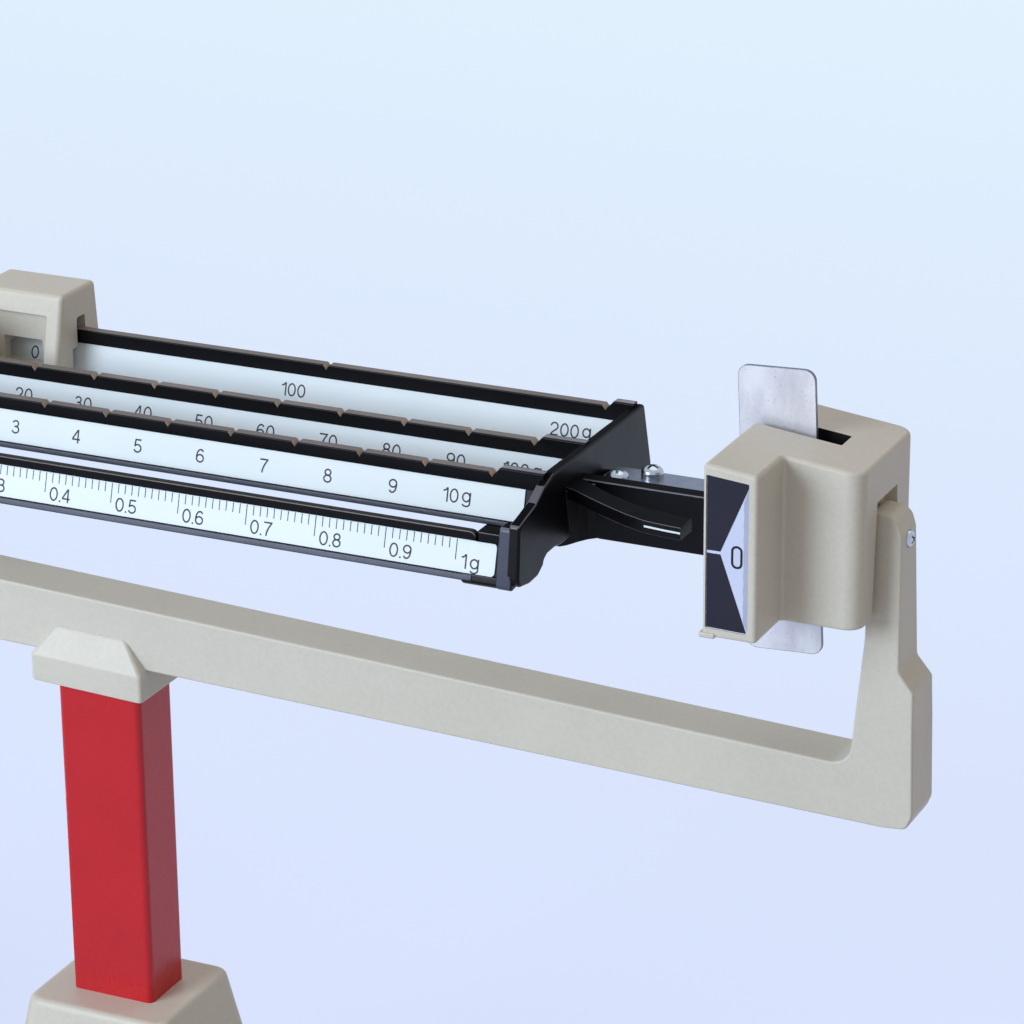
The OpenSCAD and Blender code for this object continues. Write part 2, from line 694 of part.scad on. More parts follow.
module beam_casting() color(BLACK) placed() difference() {
    union() {
        rail(rail_200_y, 0, crest_h, web_h, rails_x - over, rails_right + over);
        rail(rail_100_y, 0, crest_h, web_h, rails_x - over, rails_right + over);
        rail(-rail_10_y, 0, crest_h, web_h, rails_x - over, rails_right + over);
        rail(-rail_1_y, rail_1_drop, crest_1_h, web_1_h, rails_x - over, rails_right + over);
        end_stop(rail_200_y, last_notch_200);
        end_stop(rail_100_y, last_notch);
        end_stop(-rail_10_y, last_notch);
        // web that closes the slot between the two front rails at its right end
        box([rails_right - 13, -rail_1_y + 0.4, web_low - 1.8], [rails_right + over, -rail_10_y - 2.4, web_low + 0.2]);
        // block at the right end of the 1 g rail
        yz_prism([[-rail_1_y - 1.5, knife_z - 5.4], [-rail_1_y - 4, knife_z - 18.9], [-rail_1_y + 3, knife_z - 18.9],
                  [-rail_1_y + 3, knife_z - 5.4]], rails_right - strip_short, rails_right + over);
        // right end plate, its outer face leaning out downwards
        intersection() {
            yz_prism(plate_outline(knife_z - 4.7), rails_right, rails_right + plate_t + 3);
            xz_prism([[rails_right, arm_low - web_h], [rails_right + plate_t + 0.8, arm_low - web_h],
                      [rails_right + plate_t + 0.8, arm_low], [rails_right + plate_t - 0.2, crest_z + 1],
                      [rails_right, crest_z + 1]], -rail_1_y - 3 * crest_h, rail_200_y + 3 * crest_h);
        }
        // left cross plate, hub and nose
        yz_prism(plate_outline(knife_z - 6), cross_x, rails_x);
        box([fulcrum_x - pedestal_half, -hub_half, knife_z - 12.5], [cross_x + over, hub_half, knife_z + 7]);
        xz_prism([[pan_x - 6, knife_z - 9.5], [fulcrum_x - pedestal_half + over, knife_z - 11],
                  [fulcrum_x - pedestal_half + over, knife_z + 6], [pan_x - 6, knife_z + 4]], -5, 5);
        // pointer arm: front wall and the ledge for the vane's flange
        box([rails_right + 1, -arm_t, arm_low], [arm_x, 0, arm_top]);
        box([rails_right + 1, vane_t + 0.3, arm_top - flange_drop - 3], [rails_right + 25, flange_w, arm_top - flange_drop]);
        finger();
    }
    notches(rail_200_y, 2, notch_pitch_200, last_notch_200);
    notches(rail_100_y, 10, notch_pitch, last_notch);
    notches(-rail_10_y, 10, notch_pitch, last_notch);
    translate([fulcrum_x, 0, knife_z]) knife(true, -hub_half - over, hub_half + over);
    translate([pan_x, 0, knife_z]) knife(false, -6, 6);
    rod_x([pan_x - 6 - over, 0, knife_z - 2], stud_r + fit, 3 + over);
    for (at = screw_places()) translate([at.x, at.y, arm_top - 8]) cylinder(r = 1.5 + fit, h = 6);
}

function screw_places() = [[rails_right + 8.7, 4.2], [rails_right + 14.8, 10.2]];

// scale strip on a rail's web
module strip(y, drop, crest, web, x1) {
    low = crest_z - drop - crest;
    z1 = low - 0.1;
    z0 = low - web + lip_h + 0.1;
    a = y + web_front;
    yz_prism([[a - web_lean * (low - z0), z0], [a - web_lean * (low - z1), z1],
              [a - web_lean * (low - z1) - strip_t, z1], [a - web_lean * (low - z0) - strip_t, z0]], rails_x, x1);
}

module scale_strip_200() color(WHITE) placed() strip(rail_200_y, 0, crest_h, web_h, rails_right);
module scale_strip_100() color(WHITE) placed() strip(rail_100_y, 0, crest_h, web_h, rails_right);
module scale_strip_10() color(WHITE) placed() strip(-rail_10_y, 0, crest_h, web_h, rails_right - strip_short);
module scale_strip_1() color(WHITE) placed()
    strip(-rail_1_y, rail_1_drop, crest_1_h, web_1_h, rails_right - strip_short);

module fulcrum_knife() color(STEEL) placed() translate([fulcrum_x, 0, knife_z])
    knife(true, -cheek_out + 0.5, cheek_out - 0.5);

module pan_knife() color(STEEL) placed() translate([pan_x, 0, knife_z]) knife(false, -13, 13);

// damper vane: plate, neck and the flange that the screws hold
module vane() color(STEEL) placed() {
    flange_z = arm_top - flange_drop;
    flange_x = rails_right + plate_t + 1.8;
    difference() {
        union() {
            translate([vane_x, vane_t, vane_low + vane_h / 2]) rotate([90, -vane_lean, 0])
                linear_extrude(vane_t)
                    round_rect([-vane_w / 2, -vane_h / 2], [vane_w / 2, vane_h / 2], vane_r);
            box([flange_x, 0, flange_z - 5], [vane_x, vane_t, flange_z + vane_t]);
            box([flange_x, 0, flange_z], [arm_x - 2, flange_w, flange_z + vane_t]);
        }
        for (at = screw_places()) translate([at.x, at.y, flange_z - over]) cylinder(r = 1.5 + slip, h = 2 + over);
    }
}

module vane_screws() color(STEEL) placed()
    for (at = screw_places()) translate([at.x, at.y, arm_top - 7.5]) {
        cylinder(r = 1.5, h = 5);
        translate([0, 0, 4.9]) cylinder(r = 2.65, h = 2.8);
    }

module zero_stud() color(STEEL) placed()
    rod_x([pan_x - 6 - stud_len, 0, knife_z - 2], stud_r, stud_len + 3);

function knob_x() = pan_x - 6 - stud_len / 2 - 4;

module zero_bush() color([0.8, 0.65, 0.3]) placed() difference() {
    rod_x([knob_x() - knob_len / 2 - 0.5, 0, knife_z - 2], stud_r + 1.5, knob_len + 1);
    rod_x([knob_x() - knob_len, 0, knife_z - 2], stud_r + fit, 2 * knob_len);
}

module zero_knob() color(BLACK) placed() difference() {
    rod_x([knob_x() - knob_len / 2, 0, knife_z - 2], knob_r, knob_len);
    rod_x([knob_x() - knob_len, 0, knife_z - 2], stud_r + 1.5 + fit, 2 * knob_len);
}

// passage through a poise: the rail's section with clearance all round, open below
module passage(y, x0, x1) {
    g = poise_gap;
    yz_prism([[y - crest_t / 2 - g, crest_low - 1], [y - crest_t / 2 - g, crest_z + poise_roof],
              [y + crest_t / 2 + g, crest_z + poise_roof],
              [y + crest_t / 2 + g, web_low - 3 * web_h],
              [y + web_front - lip_out - web_lean * web_h - g, web_low - 3 * web_h],
              [y + web_front - lip_out - web_lean * web_h - g, crest_low - 1]], x0, x1);
}

// poise: block with sloping sides, a recess with a reading window and the rail's passage
module poise(x, y, len, window, front, back, slope, top, low) {
    difference() {
        yz_prism([[y - front, top], [y + back, top], [y + back + slope * (top - low) * 0.4, low],
                  [y - front - slope * (top - low), low]], x - len / 2, x + len / 2);
        passage(y, x - len / 2 - over, x + len / 2 + over);
        box([x - window / 2, y - front - 20, crest_low - 5], [x + window / 2, y - front + 1, crest_z + 5.7]);
        box([x - window * 0.32, y - front, crest_low - 5], [x + window * 0.32, y - 1, crest_low + 1.3]);
    }
}

// small steel pin that rides on the rail's crest under the poise's roof
module rider(x, y) box([x - 0.7, y - 0.9, crest_z + 0.1], [x + 0.7, y + crest_t / 2, crest_z + poise_roof]);

module poise_200() color(BEIGE) placed()
    poise(poise_200_x, rail_200_y, poise_200_len, window_200, 8.1, 7.8, 0.24, knife_z + 11.8, knife_z - 18);
module poise_200_rider() color(STEEL) placed() rider(zero_200_x, rail_200_y);

module poise_100() color(BEIGE) placed()
    poise(poise_100_x, rail_100_y, poise_100_len, 12, 6.2, 5.2, 0.16, knife_z + 9.6, knife_z - 14.5);
module poise_100_rider() color(STEEL) placed() rider(zero_x, rail_100_y);

module poise_10() color(BEIGE) placed()
    poise(poise_10_x, -rail_10_y, poise_10_len, 11, 4.6, 4, 0.08, knife_z + 8.6, knife_z - 9.8);
module poise_10_rider() color(STEEL) placed() rider(zero_x, -rail_10_y);

// 1 g rider: inverted channel over the front rail
module poise_1() color(BEIGE) placed() {
    y = -rail_1_y;
    top = crest_z - rail_1_drop;
    low = top - crest_1_h - web_1_h;
    lip = y + web_front - lip_out - web_lean * web_1_h;
    yz_prism([[lip - 1.7, low + 2], [lip - 1.7, top + 2.4], [y + 3, top + 2.4], [y + 3, top - 1.6],
              [y + crest_t / 2 + poise_gap, top - 1.6], [y + crest_t / 2 + poise_gap, top + 0.3],
              [lip - poise_gap, top + 0.3], [lip - poise_gap, low + 2]],
             zero_1_x - poise_1_len / 2, zero_1_x + poise_1_len / 2);
}

// bow outline in Y and Z, grown outwards by a thickness
module bow_outline(grow) {
    half = bow_half + grow;
    low = rest_z - grow;
    top = bow_top - bow_t + grow;
    big = 40 + grow;
    small = 10 + grow;
    translate([-half + small, low]) square([2 * (half - small), top - low - big]);
    translate([-half, low + small]) square([2 * half, top - low - small - big]);
    translate([-half + big, low + small]) square([2 * (half - big), top - low - small]);
    for (side = [-1, 1]) {
        translate([side * (half - small), low + small]) circle(small);
        translate([side * (half - big), top - big]) circle(big, $fn = 96);
    }
}

module hanger_bow() color(STEEL) placed() difference() {
    translate([pan_x - bow_w / 2, 0, 0]) rotate([90, 0, 90]) linear_extrude(bow_w) difference() {
        bow_outline(bow_t);
        bow_outline(0);
    }
    for (y = [-11, 11]) translate([pan_x, y, bow_top - bow_t - over]) cylinder(r = 1.5 + slip, h = 4);
    translate([pan_x, 0, bow_low - over]) cylinder(r = 1.5 + slip, h = 4);
}

module hanger_head() color(BLACK) placed() difference() {
    box([pan_x - 6, -15, bow_top], [pan_x + 6, 15, knife_z + 11.5]);
    box([pan_x - 6 - over, -7, bow_top - over], [pan_x + 6 + over, 7, knife_z + 8.5]);
    for (side = [-1, 1]) mirror([0, side < 0 ? 1 : 0, 0])
        box([pan_x - 4.2, 7 - over, knife_z - 6.5], [pan_x + 4.2, 13.3, knife_z + 5]);
    for (y = [-11, 11]) translate([pan_x, y, bow_top - over]) cylinder(r = 1.5 + fit, h = 5 + over);
}

module hanger_bearings() color(STEEL) placed() translate([pan_x, 0, knife_z])
    for (side = [-1, 1]) mirror([0, side < 0 ? 1 : 0, 0]) v_block(false, 7.5, 13);

module hanger_rivets() color(STEEL) placed() {
    for (y = [-11, 11]) translate([pan_x, y, bow_top - bow_t - 1]) {
        cylinder(r = 1.5, h = bow_t + 1 + 4.5);
        cylinder(r = 2.6, h = 1);
    }
    translate([pan_x, 0, bow_low - 1]) {
        cylinder(r = 1.5, h = bow_t + 1 + rest_t);
        cylinder(r = 2.6, h = 1);
    }
}

module pan_rest() color(STEEL) placed() translate([pan_x, 0, rest_z]) difference() {
    cylinder(r = rest_r, h = rest_t, $fn = 96);
    translate([0, 0, -over]) cylinder(r = 1.5 + slip, h = rest_t + 2 * over);
}

// shallow dish with a rounded foot and a plain rim
module pan() color(STEEL) placed() translate([pan_x, 0, pan_z]) rotate_extrude($fn = 120) {
    foot = pan_r - 7;
    square([foot, pan_t]);
    polygon([[foot, 0], [pan_r - 2, pan_h - 1], [pan_r, pan_h - 1], [pan_r, pan_h], [pan_r - 2.6, pan_h],
             [foot - 0.4, pan_t], [foot - 0.4, 0]]);
}

base_casting();
post_tube();
frame_casting();
tie_bolt();
tie_nut();
fixed_feet();
foot_pad();
levelling_screw();
fulcrum_bearings();
bearing_covers();
cover_screws();
indicator_housing();
label_plate();
housing_screw();
magnet_yoke();
damper_magnets();
beam_casting();
scale_strip_200();
scale_strip_100();
scale_strip_10();
scale_strip_1();
fulcrum_knife();
pan_knife();
vane();
vane_screws();
zero_stud();
zero_bush();
zero_knob();
poise_200();
poise_200_rider();
poise_100();
poise_100_rider();
poise_10();
poise_10_rider();
poise_1();
hanger_head();
hanger_bearings();
hanger_rivets();
hanger_bow();
pan_rest();
pan();
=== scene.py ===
from collections import namedtuple
from math import cos, dist, pi, radians, sin, sqrt, tan

import bmesh
import bpy
from mathutils import Matrix, Vector


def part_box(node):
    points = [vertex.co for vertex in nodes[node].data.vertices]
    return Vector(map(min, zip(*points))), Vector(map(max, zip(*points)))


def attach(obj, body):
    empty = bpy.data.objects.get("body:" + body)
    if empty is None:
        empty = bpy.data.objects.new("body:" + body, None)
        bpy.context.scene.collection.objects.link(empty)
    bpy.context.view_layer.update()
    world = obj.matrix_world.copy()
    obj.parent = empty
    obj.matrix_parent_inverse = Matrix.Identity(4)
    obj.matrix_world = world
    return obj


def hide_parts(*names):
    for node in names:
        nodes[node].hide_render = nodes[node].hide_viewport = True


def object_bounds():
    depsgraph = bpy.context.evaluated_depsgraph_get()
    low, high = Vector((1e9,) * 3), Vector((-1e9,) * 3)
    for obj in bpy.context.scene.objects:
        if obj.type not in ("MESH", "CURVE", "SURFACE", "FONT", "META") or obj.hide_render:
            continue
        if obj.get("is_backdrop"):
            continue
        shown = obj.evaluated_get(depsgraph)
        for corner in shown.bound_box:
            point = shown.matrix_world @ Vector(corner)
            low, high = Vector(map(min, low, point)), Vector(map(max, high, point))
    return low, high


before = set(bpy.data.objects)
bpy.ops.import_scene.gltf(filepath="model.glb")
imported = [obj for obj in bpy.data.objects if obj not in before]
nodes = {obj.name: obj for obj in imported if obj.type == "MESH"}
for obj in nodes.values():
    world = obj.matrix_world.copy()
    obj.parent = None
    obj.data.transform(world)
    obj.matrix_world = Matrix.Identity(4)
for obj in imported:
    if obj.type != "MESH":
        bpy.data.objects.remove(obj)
cad_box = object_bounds()

# Lengths are in millimetres: x from the post's centre, y to the back, z above the table.
MM = 0.001
POST_X = (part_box("post_tube")[0].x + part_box("post_tube")[1].x) / 2

# height of both knife edges, and where they stand
KNIFE_Z = 221.5
FULCRUM_X = -92.0
PAN_X = -148.0
# rails: common crest, its half width, the web behind the strip and its lean, the lip below the strip
CREST_Z = 222.5
CREST_LOW = 219.6
CREST_HALF = 1.4
WEB_FRONT = -0.5
LEAN = 0.28
LIP_OUT = 0.9
RAILS_LEFT = -74.0
RAILS_RIGHT = 125.0
END_RISE = 1.15
END_RUN = 1.3
# notches and marks
NOTCH_PITCH = 16.7
NOTCH_PITCH_200 = 73.9
NOTCH_HALF = 0.8
NOTCH_DEPTH = 1.0
LAST_NOTCH = RAILS_RIGHT - 11.6
LAST_NOTCH_200 = RAILS_RIGHT - 5.9
TICK_PITCH = 17.7
LAST_TICK = RAILS_RIGHT - 12.9
# strips and the print on them
STRIP_T = 0.4
PRINT = 0.03
# base, pointer arm, end plate, vane
DECK_Z = 19.0
BOSS_Z = 60.5
ARM_TOP = 217.7
ARM_LOW = 203.6
ARM_X = 161.0
PLATE_T = 3.2
VANE_LEAN = 2.6
# frame bar and indicator housing
BAR_TOP = 168.0
TOP_FALL = 0.0411
BAR_LOW = 151.9
LOW_FALL = 0.0288
HOUSING_LOW = 196.4
HOUSING_TOP = 236.7
HOUSING_LEFT = 169.3
HOUSING_FALL = 0.118
SCREW_Z = 213.8

# one rail: crest's middle, its top and lower edge, the lip's foot, heights and ends of strip and notches
Rail = namedtuple("Rail", "y top low foot lip back strip_end strip_r notches pitch last")
RAILS = {
    "200": Rail(32.1, 222.9, 219.4, 210.5, 1.2, 1.4, 125.0, 0.1, 2, NOTCH_PITCH_200, LAST_NOTCH_200),
    "100": Rail(4.5, 222.25, 218.85, 210.5, 1.2, 1.4, 125.0, 0.1, 10, NOTCH_PITCH, LAST_NOTCH),
    "10": Rail(-18.3, 222.4, 219.35, 210.5, 1.3, 1.4, 121.5, 0.15, 10, NOTCH_PITCH, LAST_NOTCH),
    "1": Rail(-34.2, 214.0, 211.9, 203.0, 1.5, 0.7, 121.9, 1.0, -1, 0.0, 0.0),
}


def to_row(point):
    return Vector((point[0] * MM + POST_X, point[1] * MM, point[2] * MM))


def inset(points, distance):
    """Corners moved inwards by a distance from both of their sides."""
    out = []
    count = len(points)
    for i in range(count):
        a, b, c = Vector(points[i - 1]), Vector(points[i]), Vector(points[(i + 1) % count])
        e1, e2 = (b - a).normalized(), (c - b).normalized()
        n1, n2 = Vector((-e1.y, e1.x)), Vector((-e2.y, e2.x))
        m = (n1 + n2) / max(1 + n1.dot(n2), 0.25)
        out.append((b.x + m.x * distance, b.y + m.y * distance))
    return out


class Outline:
    """Corners with a radius each. Its rings keep their number of points at every inset."""

    def __init__(self, points, radii, steps=5):
        if not isinstance(radii, (list, tuple)):
            radii = [radii] * len(points)
        points, radii = list(points), list(radii)
        if sum(a[0] * b[1] - b[0] * a[1] for a, b in zip(points, points[1:] + points[:1])) < 0:
            points, radii = points[::-1], radii[::-1]
        self.points, self.radii, self.steps = points, radii, steps
        for i, here in enumerate(points):
            u, v = self.sides(points, i)
            if u.angle(v) > radians(177):
                radii[i] = 0

    @staticmethod
    def sides(points, i):
        here = Vector(points[i])
        return Vector(points[i - 1]) - here, Vector(points[(i + 1) % len(points)]) - here

    def ring(self, distance=0.0):
        moved = inset(self.points, distance) if distance else self.points
        out = []
        for i, radius in enumerate(self.radii):
            here = Vector(moved[i])
            if radius <= 0:
                out.append(tuple(here))
                continue
            u, v = self.sides(moved, i)
            convex = u.angle_signed(v) > 0
            radius = max(radius - distance, 0.0) if convex else radius + distance
            room = 0.49 * min(u.length, v.length)
            half = u.angle(v) / 2
            u.normalize()
            v.normalize()
            reach = min(radius / tan(half), room)
            radius = reach * tan(half)
            if radius < 1e-6:
                out += [tuple(here)] * (self.steps + 1)
                continue
            centre = here + (u + v).normalized() * (radius / sin(half))
            start, end = here + u * reach - centre, here + v * reach - centre
            turn = start.angle_signed(end)
            for k in range(self.steps + 1):
                a = -turn * k / self.steps
                out.append((centre.x + start.x * cos(a) - start.y * sin(a),
                            centre.y + start.x * sin(a) + start.y * cos(a)))
        return out

    def __iter__(self):
        return iter(self.ring())


AXES = {"X": lambda u, v, w: (w, u, v), "Y": lambda u, v, w: (u, w, v), "Z": lambda u, v, w: (u, v, w)}


def loft(rings, closed=False):
    """Solid through rings of equally many points. It ends in two faces or runs back to its first ring."""
    n = len(rings[0])
    count = len(rings)
    verts = [p for ring in rings for p in ring]
    faces = [] if closed else [tuple(range(n))[::-1], tuple(range(len(verts) - n, len(verts)))]
    for k in range(count if closed else count - 1):
        here, after = k * n, (k + 1) % count * n
        for i in range(n):
            j = (i + 1) % n
            faces.append((here + i, here + j, after + j, after + i))
    return verts, faces


def prism(outline, low, high, axis, r_low=0.0, r_high=None, steps=4):
    """Outline run from low to high, its two face edges rounded."""
    if r_high is None:
        r_high = r_low
    if not isinstance(outline, Outline):
        outline = Outline(outline, 0)
    turns = [pi / 2 * k / steps for k in range(steps)]
    levels = [(r_low * (1 - sin(a)), low + r_low * (1 - cos(a))) for a in turns if r_low > 0]
    levels += [(0, low + r_low), (0, high - r_high)]
    levels += [(r_high * (1 - sin(a)), high - r_high * (1 - cos(a)))
               for a in turns[::-1] if r_high > 0]
    place = AXES[axis]
    return loft([[place(u, v, w) for u, v in outline.ring(d)] for d, w in levels])


def rect(u0, v0, u1, v1, r=0.0, steps=5):
    return Outline([(u0, v0), (u1, v0), (u1, v1), (u0, v1)], r, steps)


def block(low, high, r, corner=None, steps=3):
    """Box between two corners with all its edges rounded."""
    (x0, y0, z0), (x1, y1, z1) = low, high
    return prism(rect(x0, y0, x1, y1, corner or r, steps), z0, z1, "Z", r, r, steps)


def turned(profile, centre, axis="Z", count=48):
    """Solid of revolution. The profile's points are (radius, height along the axis)."""
    place = AXES[axis]
    rings = []
    for radius, w in profile:
        radius = max(radius, 0.001)
        rings.append([place(radius * cos(t), radius * sin(t), w)
                      for t in (2 * pi * k / count for k in range(count))])
    verts, faces = loft(rings)
    return [tuple(a + b for a, b in zip(v, centre)) for v in verts], faces


def mapped(shape, change):
    return [change(*v) for v in shape[0]], shape[1]


def join(*shapes):
    verts, faces = [], []
    for v, f in shapes:
        base = len(verts)
        verts += v
        faces += [tuple(i + base for i in face) for face in f]
    return verts, faces


def new_mesh(name, shape):
    mesh = bpy.data.meshes.new(name)
    mesh.from_pydata([to_row(v) for v in shape[0]], [], shape[1])
    work = bmesh.new()
    work.from_mesh(mesh)
    bmesh.ops.remove_doubles(work, verts=work.verts, dist=1e-7)
    bmesh.ops.recalc_face_normals(work, faces=work.faces)
    work.to_mesh(mesh)
    work.free()
    mesh.update()
    return mesh


def new_object(name, data):
    obj = bpy.data.objects.new(name, data)
    bpy.context.scene.collection.objects.link(obj)
    return obj


def middle(polygon):
    """Centre of a face in the object's millimetres."""
    x, y, z = polygon.center
    return (x - POST_X) / MM, y / MM, z / MM


def use(obj, polygon, finish):
    """Gives one face one of its object's finishes."""
    polygon.material_index = obj.data.materials.find(finish.name)


def piece(name, shape, finish, body, replaces=(), sharp=32, cuts=(), unions=()):
    """Object from a solid in millimetres, ready to ride on a body."""
    obj = new_object(name, new_mesh(name, shape))
    helpers = []
    for kind, others in (("UNION", unions), ("DIFFERENCE", cuts)):
        for other in others:
            tool = new_object(name + "_tool", new_mesh(name + "_tool", other))
            helpers.append(tool)
            step = obj.modifiers.new(kind, "BOOLEAN")
            step.operation = kind
            step.solver = "EXACT"
            step.object = tool
    if helpers:
        baked = bpy.data.meshes.new_from_object(
            obj.evaluated_get(bpy.context.evaluated_depsgraph_get()))
        obj.modifiers.clear()
        obj.data = baked
        baked.name = name
        for tool in helpers:
            bpy.data.objects.remove(tool)
    obj.data.shade_smooth()
    obj.data.set_sharp_from_angle(angle=radians(sharp))
    normals = obj.modifiers.new("normals", "WEIGHTED_NORMAL")
    normals.keep_sharp = True
    obj.data.materials.clear()
    for m in finish if isinstance(finish, (list, tuple)) else [finish]:
        obj.data.materials.append(m)
    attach(obj, body)
    if replaces:
        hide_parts(*replaces)
    return obj


def linear(r, g, b):
    """Scene colour of a screen colour."""
    shares = [c / 255 for c in (r, g, b)]
    return tuple(c / 12.92 if c <= 0.04045 else ((c + 0.055) / 1.055) ** 2.4 for c in shares) + (1.0,)


class Tree:
    """Shader nodes of a material or of the surroundings."""

    def __init__(self, owner, emptied=True):
        owner.use_nodes = True
        self.tree = owner.node_tree
        if emptied:
            self.tree.nodes.clear()

    def feed(self, socket, value):
        """Links a socket to another one or sets its value."""
        if hasattr(value, "is_linked"):
            self.tree.links.new(value, socket)
        else:
            socket.default_value = value

    def node(self, kind, *values, **named):
        """New node. Plain values feed its sockets in order, named ones a socket or a setting."""
        made = self.tree.nodes.new("ShaderNode" + kind)
        for socket, value in zip(made.inputs, values):
            self.feed(socket, value)
        for key, value in named.items():
            if key in made.inputs:
                self.feed(made.inputs[key], value)
            else:
                setattr(made, key, value)
        return made

    def ramp(self, source, stops):
        made = self.node("ValToRGB", Fac=source)
        ramp = made.color_ramp
        for element, (place, colour) in zip(ramp.elements, stops):
            element.position = place
            element.color = colour if isinstance(colour, tuple) else (colour,) * 3 + (1.0,)
        return made.outputs["Color"]

    def mix_shader(self, factor, a, b):
        return self.node("MixShader", factor, a, b).outputs["Shader"]

    def any_ray(self, first, *others):
        """1 where the ray is of one of the named kinds."""
        path = self.node("LightPath")
        found = path.outputs[first]
        for kind in others:
            either = self.node("Math", found, path.outputs[kind], operation="MAXIMUM")
            found = either.outputs["Value"]
        return found


class Finish(Tree):
    """Nodes of one material around its main shader."""

    def __init__(self, name, roughness, metallic=0.0, specular=0.5):
        self.material = bpy.data.materials.new(name)
        super().__init__(self.material, emptied=False)
        self.inputs = self.tree.nodes["Principled BSDF"].inputs
        self.feed(self.inputs["Roughness"], roughness)
        self.feed(self.inputs["Metallic"], metallic)
        self.feed(self.inputs["Specular IOR Level"], specular)
        self.coords = self.node("TexCoord").outputs["Object"]
        self.height = None

    def noise(self, scale, detail, stretch=None):
        source = self.coords
        if stretch:
            source = self.node("Mapping", Vector=source, Scale=stretch).outputs["Vector"]
        made = self.node("TexNoise", Vector=source, Scale=scale, Detail=detail, Roughness=0.55)
        return made.outputs["Fac"]

    def multiply(self, factor, a, b):
        made = self.node("Mix", data_type="RGBA", blend_type="MULTIPLY")
        for index, value in ((0, factor), (6, a), (7, b)):
            self.feed(made.inputs[index], value)
        return made.outputs[2]

    def colour(self, source):
        self.feed(self.inputs["Base Color"], source)

    def rough(self, source, low, high):
        made = self.node("MapRange", Value=source, **{"To Min": low, "To Max": high})
        self.feed(self.inputs["Roughness"], made.outputs["Result"])

    def bump(self, source, strength, distance):
        made = self.node("Bump", Strength=strength, Distance=distance, Height=source)
        if self.height:
            self.feed(made.inputs["Normal"], self.height)
        self.height = made.outputs["Normal"]
        self.feed(self.inputs["Normal"], self.height)


def paint(name, pale, dark, roughness, specular, grain=0.05):
    """Sprayed paint: faint cloudiness and orange peel."""
    f = Finish(name, roughness, specular=specular)
    cloud = f.ramp(f.noise(38, 4), [(0.3, linear(*dark)), (0.7, linear(*pale))])
    fine = f.ramp(f.noise(900, 2), [(0.35, 0.93), (0.65, 1.0)])
    f.colour(f.multiply(0.6, cloud, fine))
    f.rough(f.noise(160, 3), roughness - 0.05, roughness + 0.07)
    f.bump(f.noise(1100, 2), grain, 0.0002)
    f.bump(f.noise(130, 2), 0.12, 0.0004)
    return f.material


def metal(name, colour, roughness, stretch=(1, 1, 1), grain=0.06, scale=600):
    """Bare metal: drawn grain, light cloudiness in its gloss."""
    f = Finish(name, roughness, metallic=1.0)
    pale = linear(*colour)
    dark = tuple(c * 0.86 for c in pale[:3]) + (1.0,)
    f.colour(f.ramp(f.noise(scale, 3, stretch), [(0.3, dark), (0.7, pale)]))
    f.rough(f.noise(scale / 6, 4, stretch), roughness - 0.06, roughness + 0.1)
    f.bump(f.noise(scale, 3, stretch), grain, 0.0001)
    return f.material


BEIGE = paint("beige_enamel", (215, 212, 201), (210, 207, 196), 0.42, 0.45)
BLACK = paint("black_enamel", (15, 14, 17), (11, 10, 13), 0.3, 0.14, grain=0.04)
NOTCH_WEAR_AND_HIGHLIGHT = paint("worn_notch_and_painted_highlight", (196, 178, 160), (160, 142, 126), 0.4, 0.5)
CREST_WEAR_AND_HIGHLIGHT = paint("worn_crest_and_painted_highlight", (134, 124, 120), (112, 104, 100), 0.45, 0.3)
RAISED_END_HIGHLIGHT = paint("painted_end_highlight", (160, 156, 168), (120, 116, 126), 0.4, 0.4)
RED = paint("red_enamel", (202, 24, 34), (190, 18, 29), 0.26, 0.4, grain=0.03)
INK = paint("scale_ink", (62, 60, 78), (52, 50, 66), 0.5, 0.3)
NAVY = paint("label_navy", (34, 33, 49), (28, 28, 43), 0.4, 0.3)
LABEL_SHADE_BAND = paint("label_painted_shade", (184, 190, 216), (174, 181, 207), 0.4, 0.35)
ZERO_INK = paint("label_ink", (26, 25, 34), (20, 20, 28), 0.4, 0.3)
SHADE = paint("painted_shade_black", (13, 12, 15), (9, 9, 11), 0.55, 0.03, grain=0.04)
GREY = paint("grey_sheen", (72, 77, 95), (60, 64, 80), 0.3, 0.3, grain=0.04)
EDGE_HIGHLIGHT = paint("painted_edge_highlight", (112, 112, 124), (84, 84, 95), 0.35, 0.4, grain=0.03)
DARK = paint("slot_shade_and_magnet_black", (14, 13, 14), (9, 9, 10), 0.6, 0.2)
RUBBER = paint("rubber", (38, 37, 38), (28, 28, 29), 0.75, 0.25, grain=0.2)
ZINC = metal("zinc_plate", (205, 208, 212), 0.22, scale=420)
STEEL = metal("ground_steel", (184, 187, 192), 0.3, (1, 12, 1))
BRIGHT = metal("bright_steel", (214, 216, 219), 0.24, (1, 14, 14), grain=0.04)
BRASS = metal("turned_brass", (214, 174, 98), 0.28, (18, 1, 1))


def paper(name, roughness, specular, dark, pale):
    """Smooth printed film, hardly cloudy."""
    f = Finish(name, roughness, specular=specular)
    f.colour(f.ramp(f.noise(30, 3), [(0.3, linear(*dark)), (0.7, linear(*pale))]))
    f.bump(f.noise(700, 2), 0.03, 0.0001)
    return f.material


def vane_metal():
    """Rolled aluminium, hazy and smudged."""
    f = Finish("vane_aluminium", 0.36, metallic=0.25)
    haze = f.ramp(f.noise(120, 5, (1, 1, 0.5)),
                  [(0.3, linear(206, 205, 217)), (0.6, linear(238, 240, 248))])
    specks = f.ramp(f.noise(1500, 4), [(0.28, linear(140, 138, 152)), (0.4, linear(255, 255, 255))])
    f.colour(f.multiply(0.5, haze, specks))
    f.rough(f.noise(240, 4), 0.28, 0.48)
    f.bump(f.noise(900, 3, (1, 1, 0.08)), 0.08, 0.0001)
    f.bump(f.noise(200, 2), 0.1, 0.0003)
    return f.material


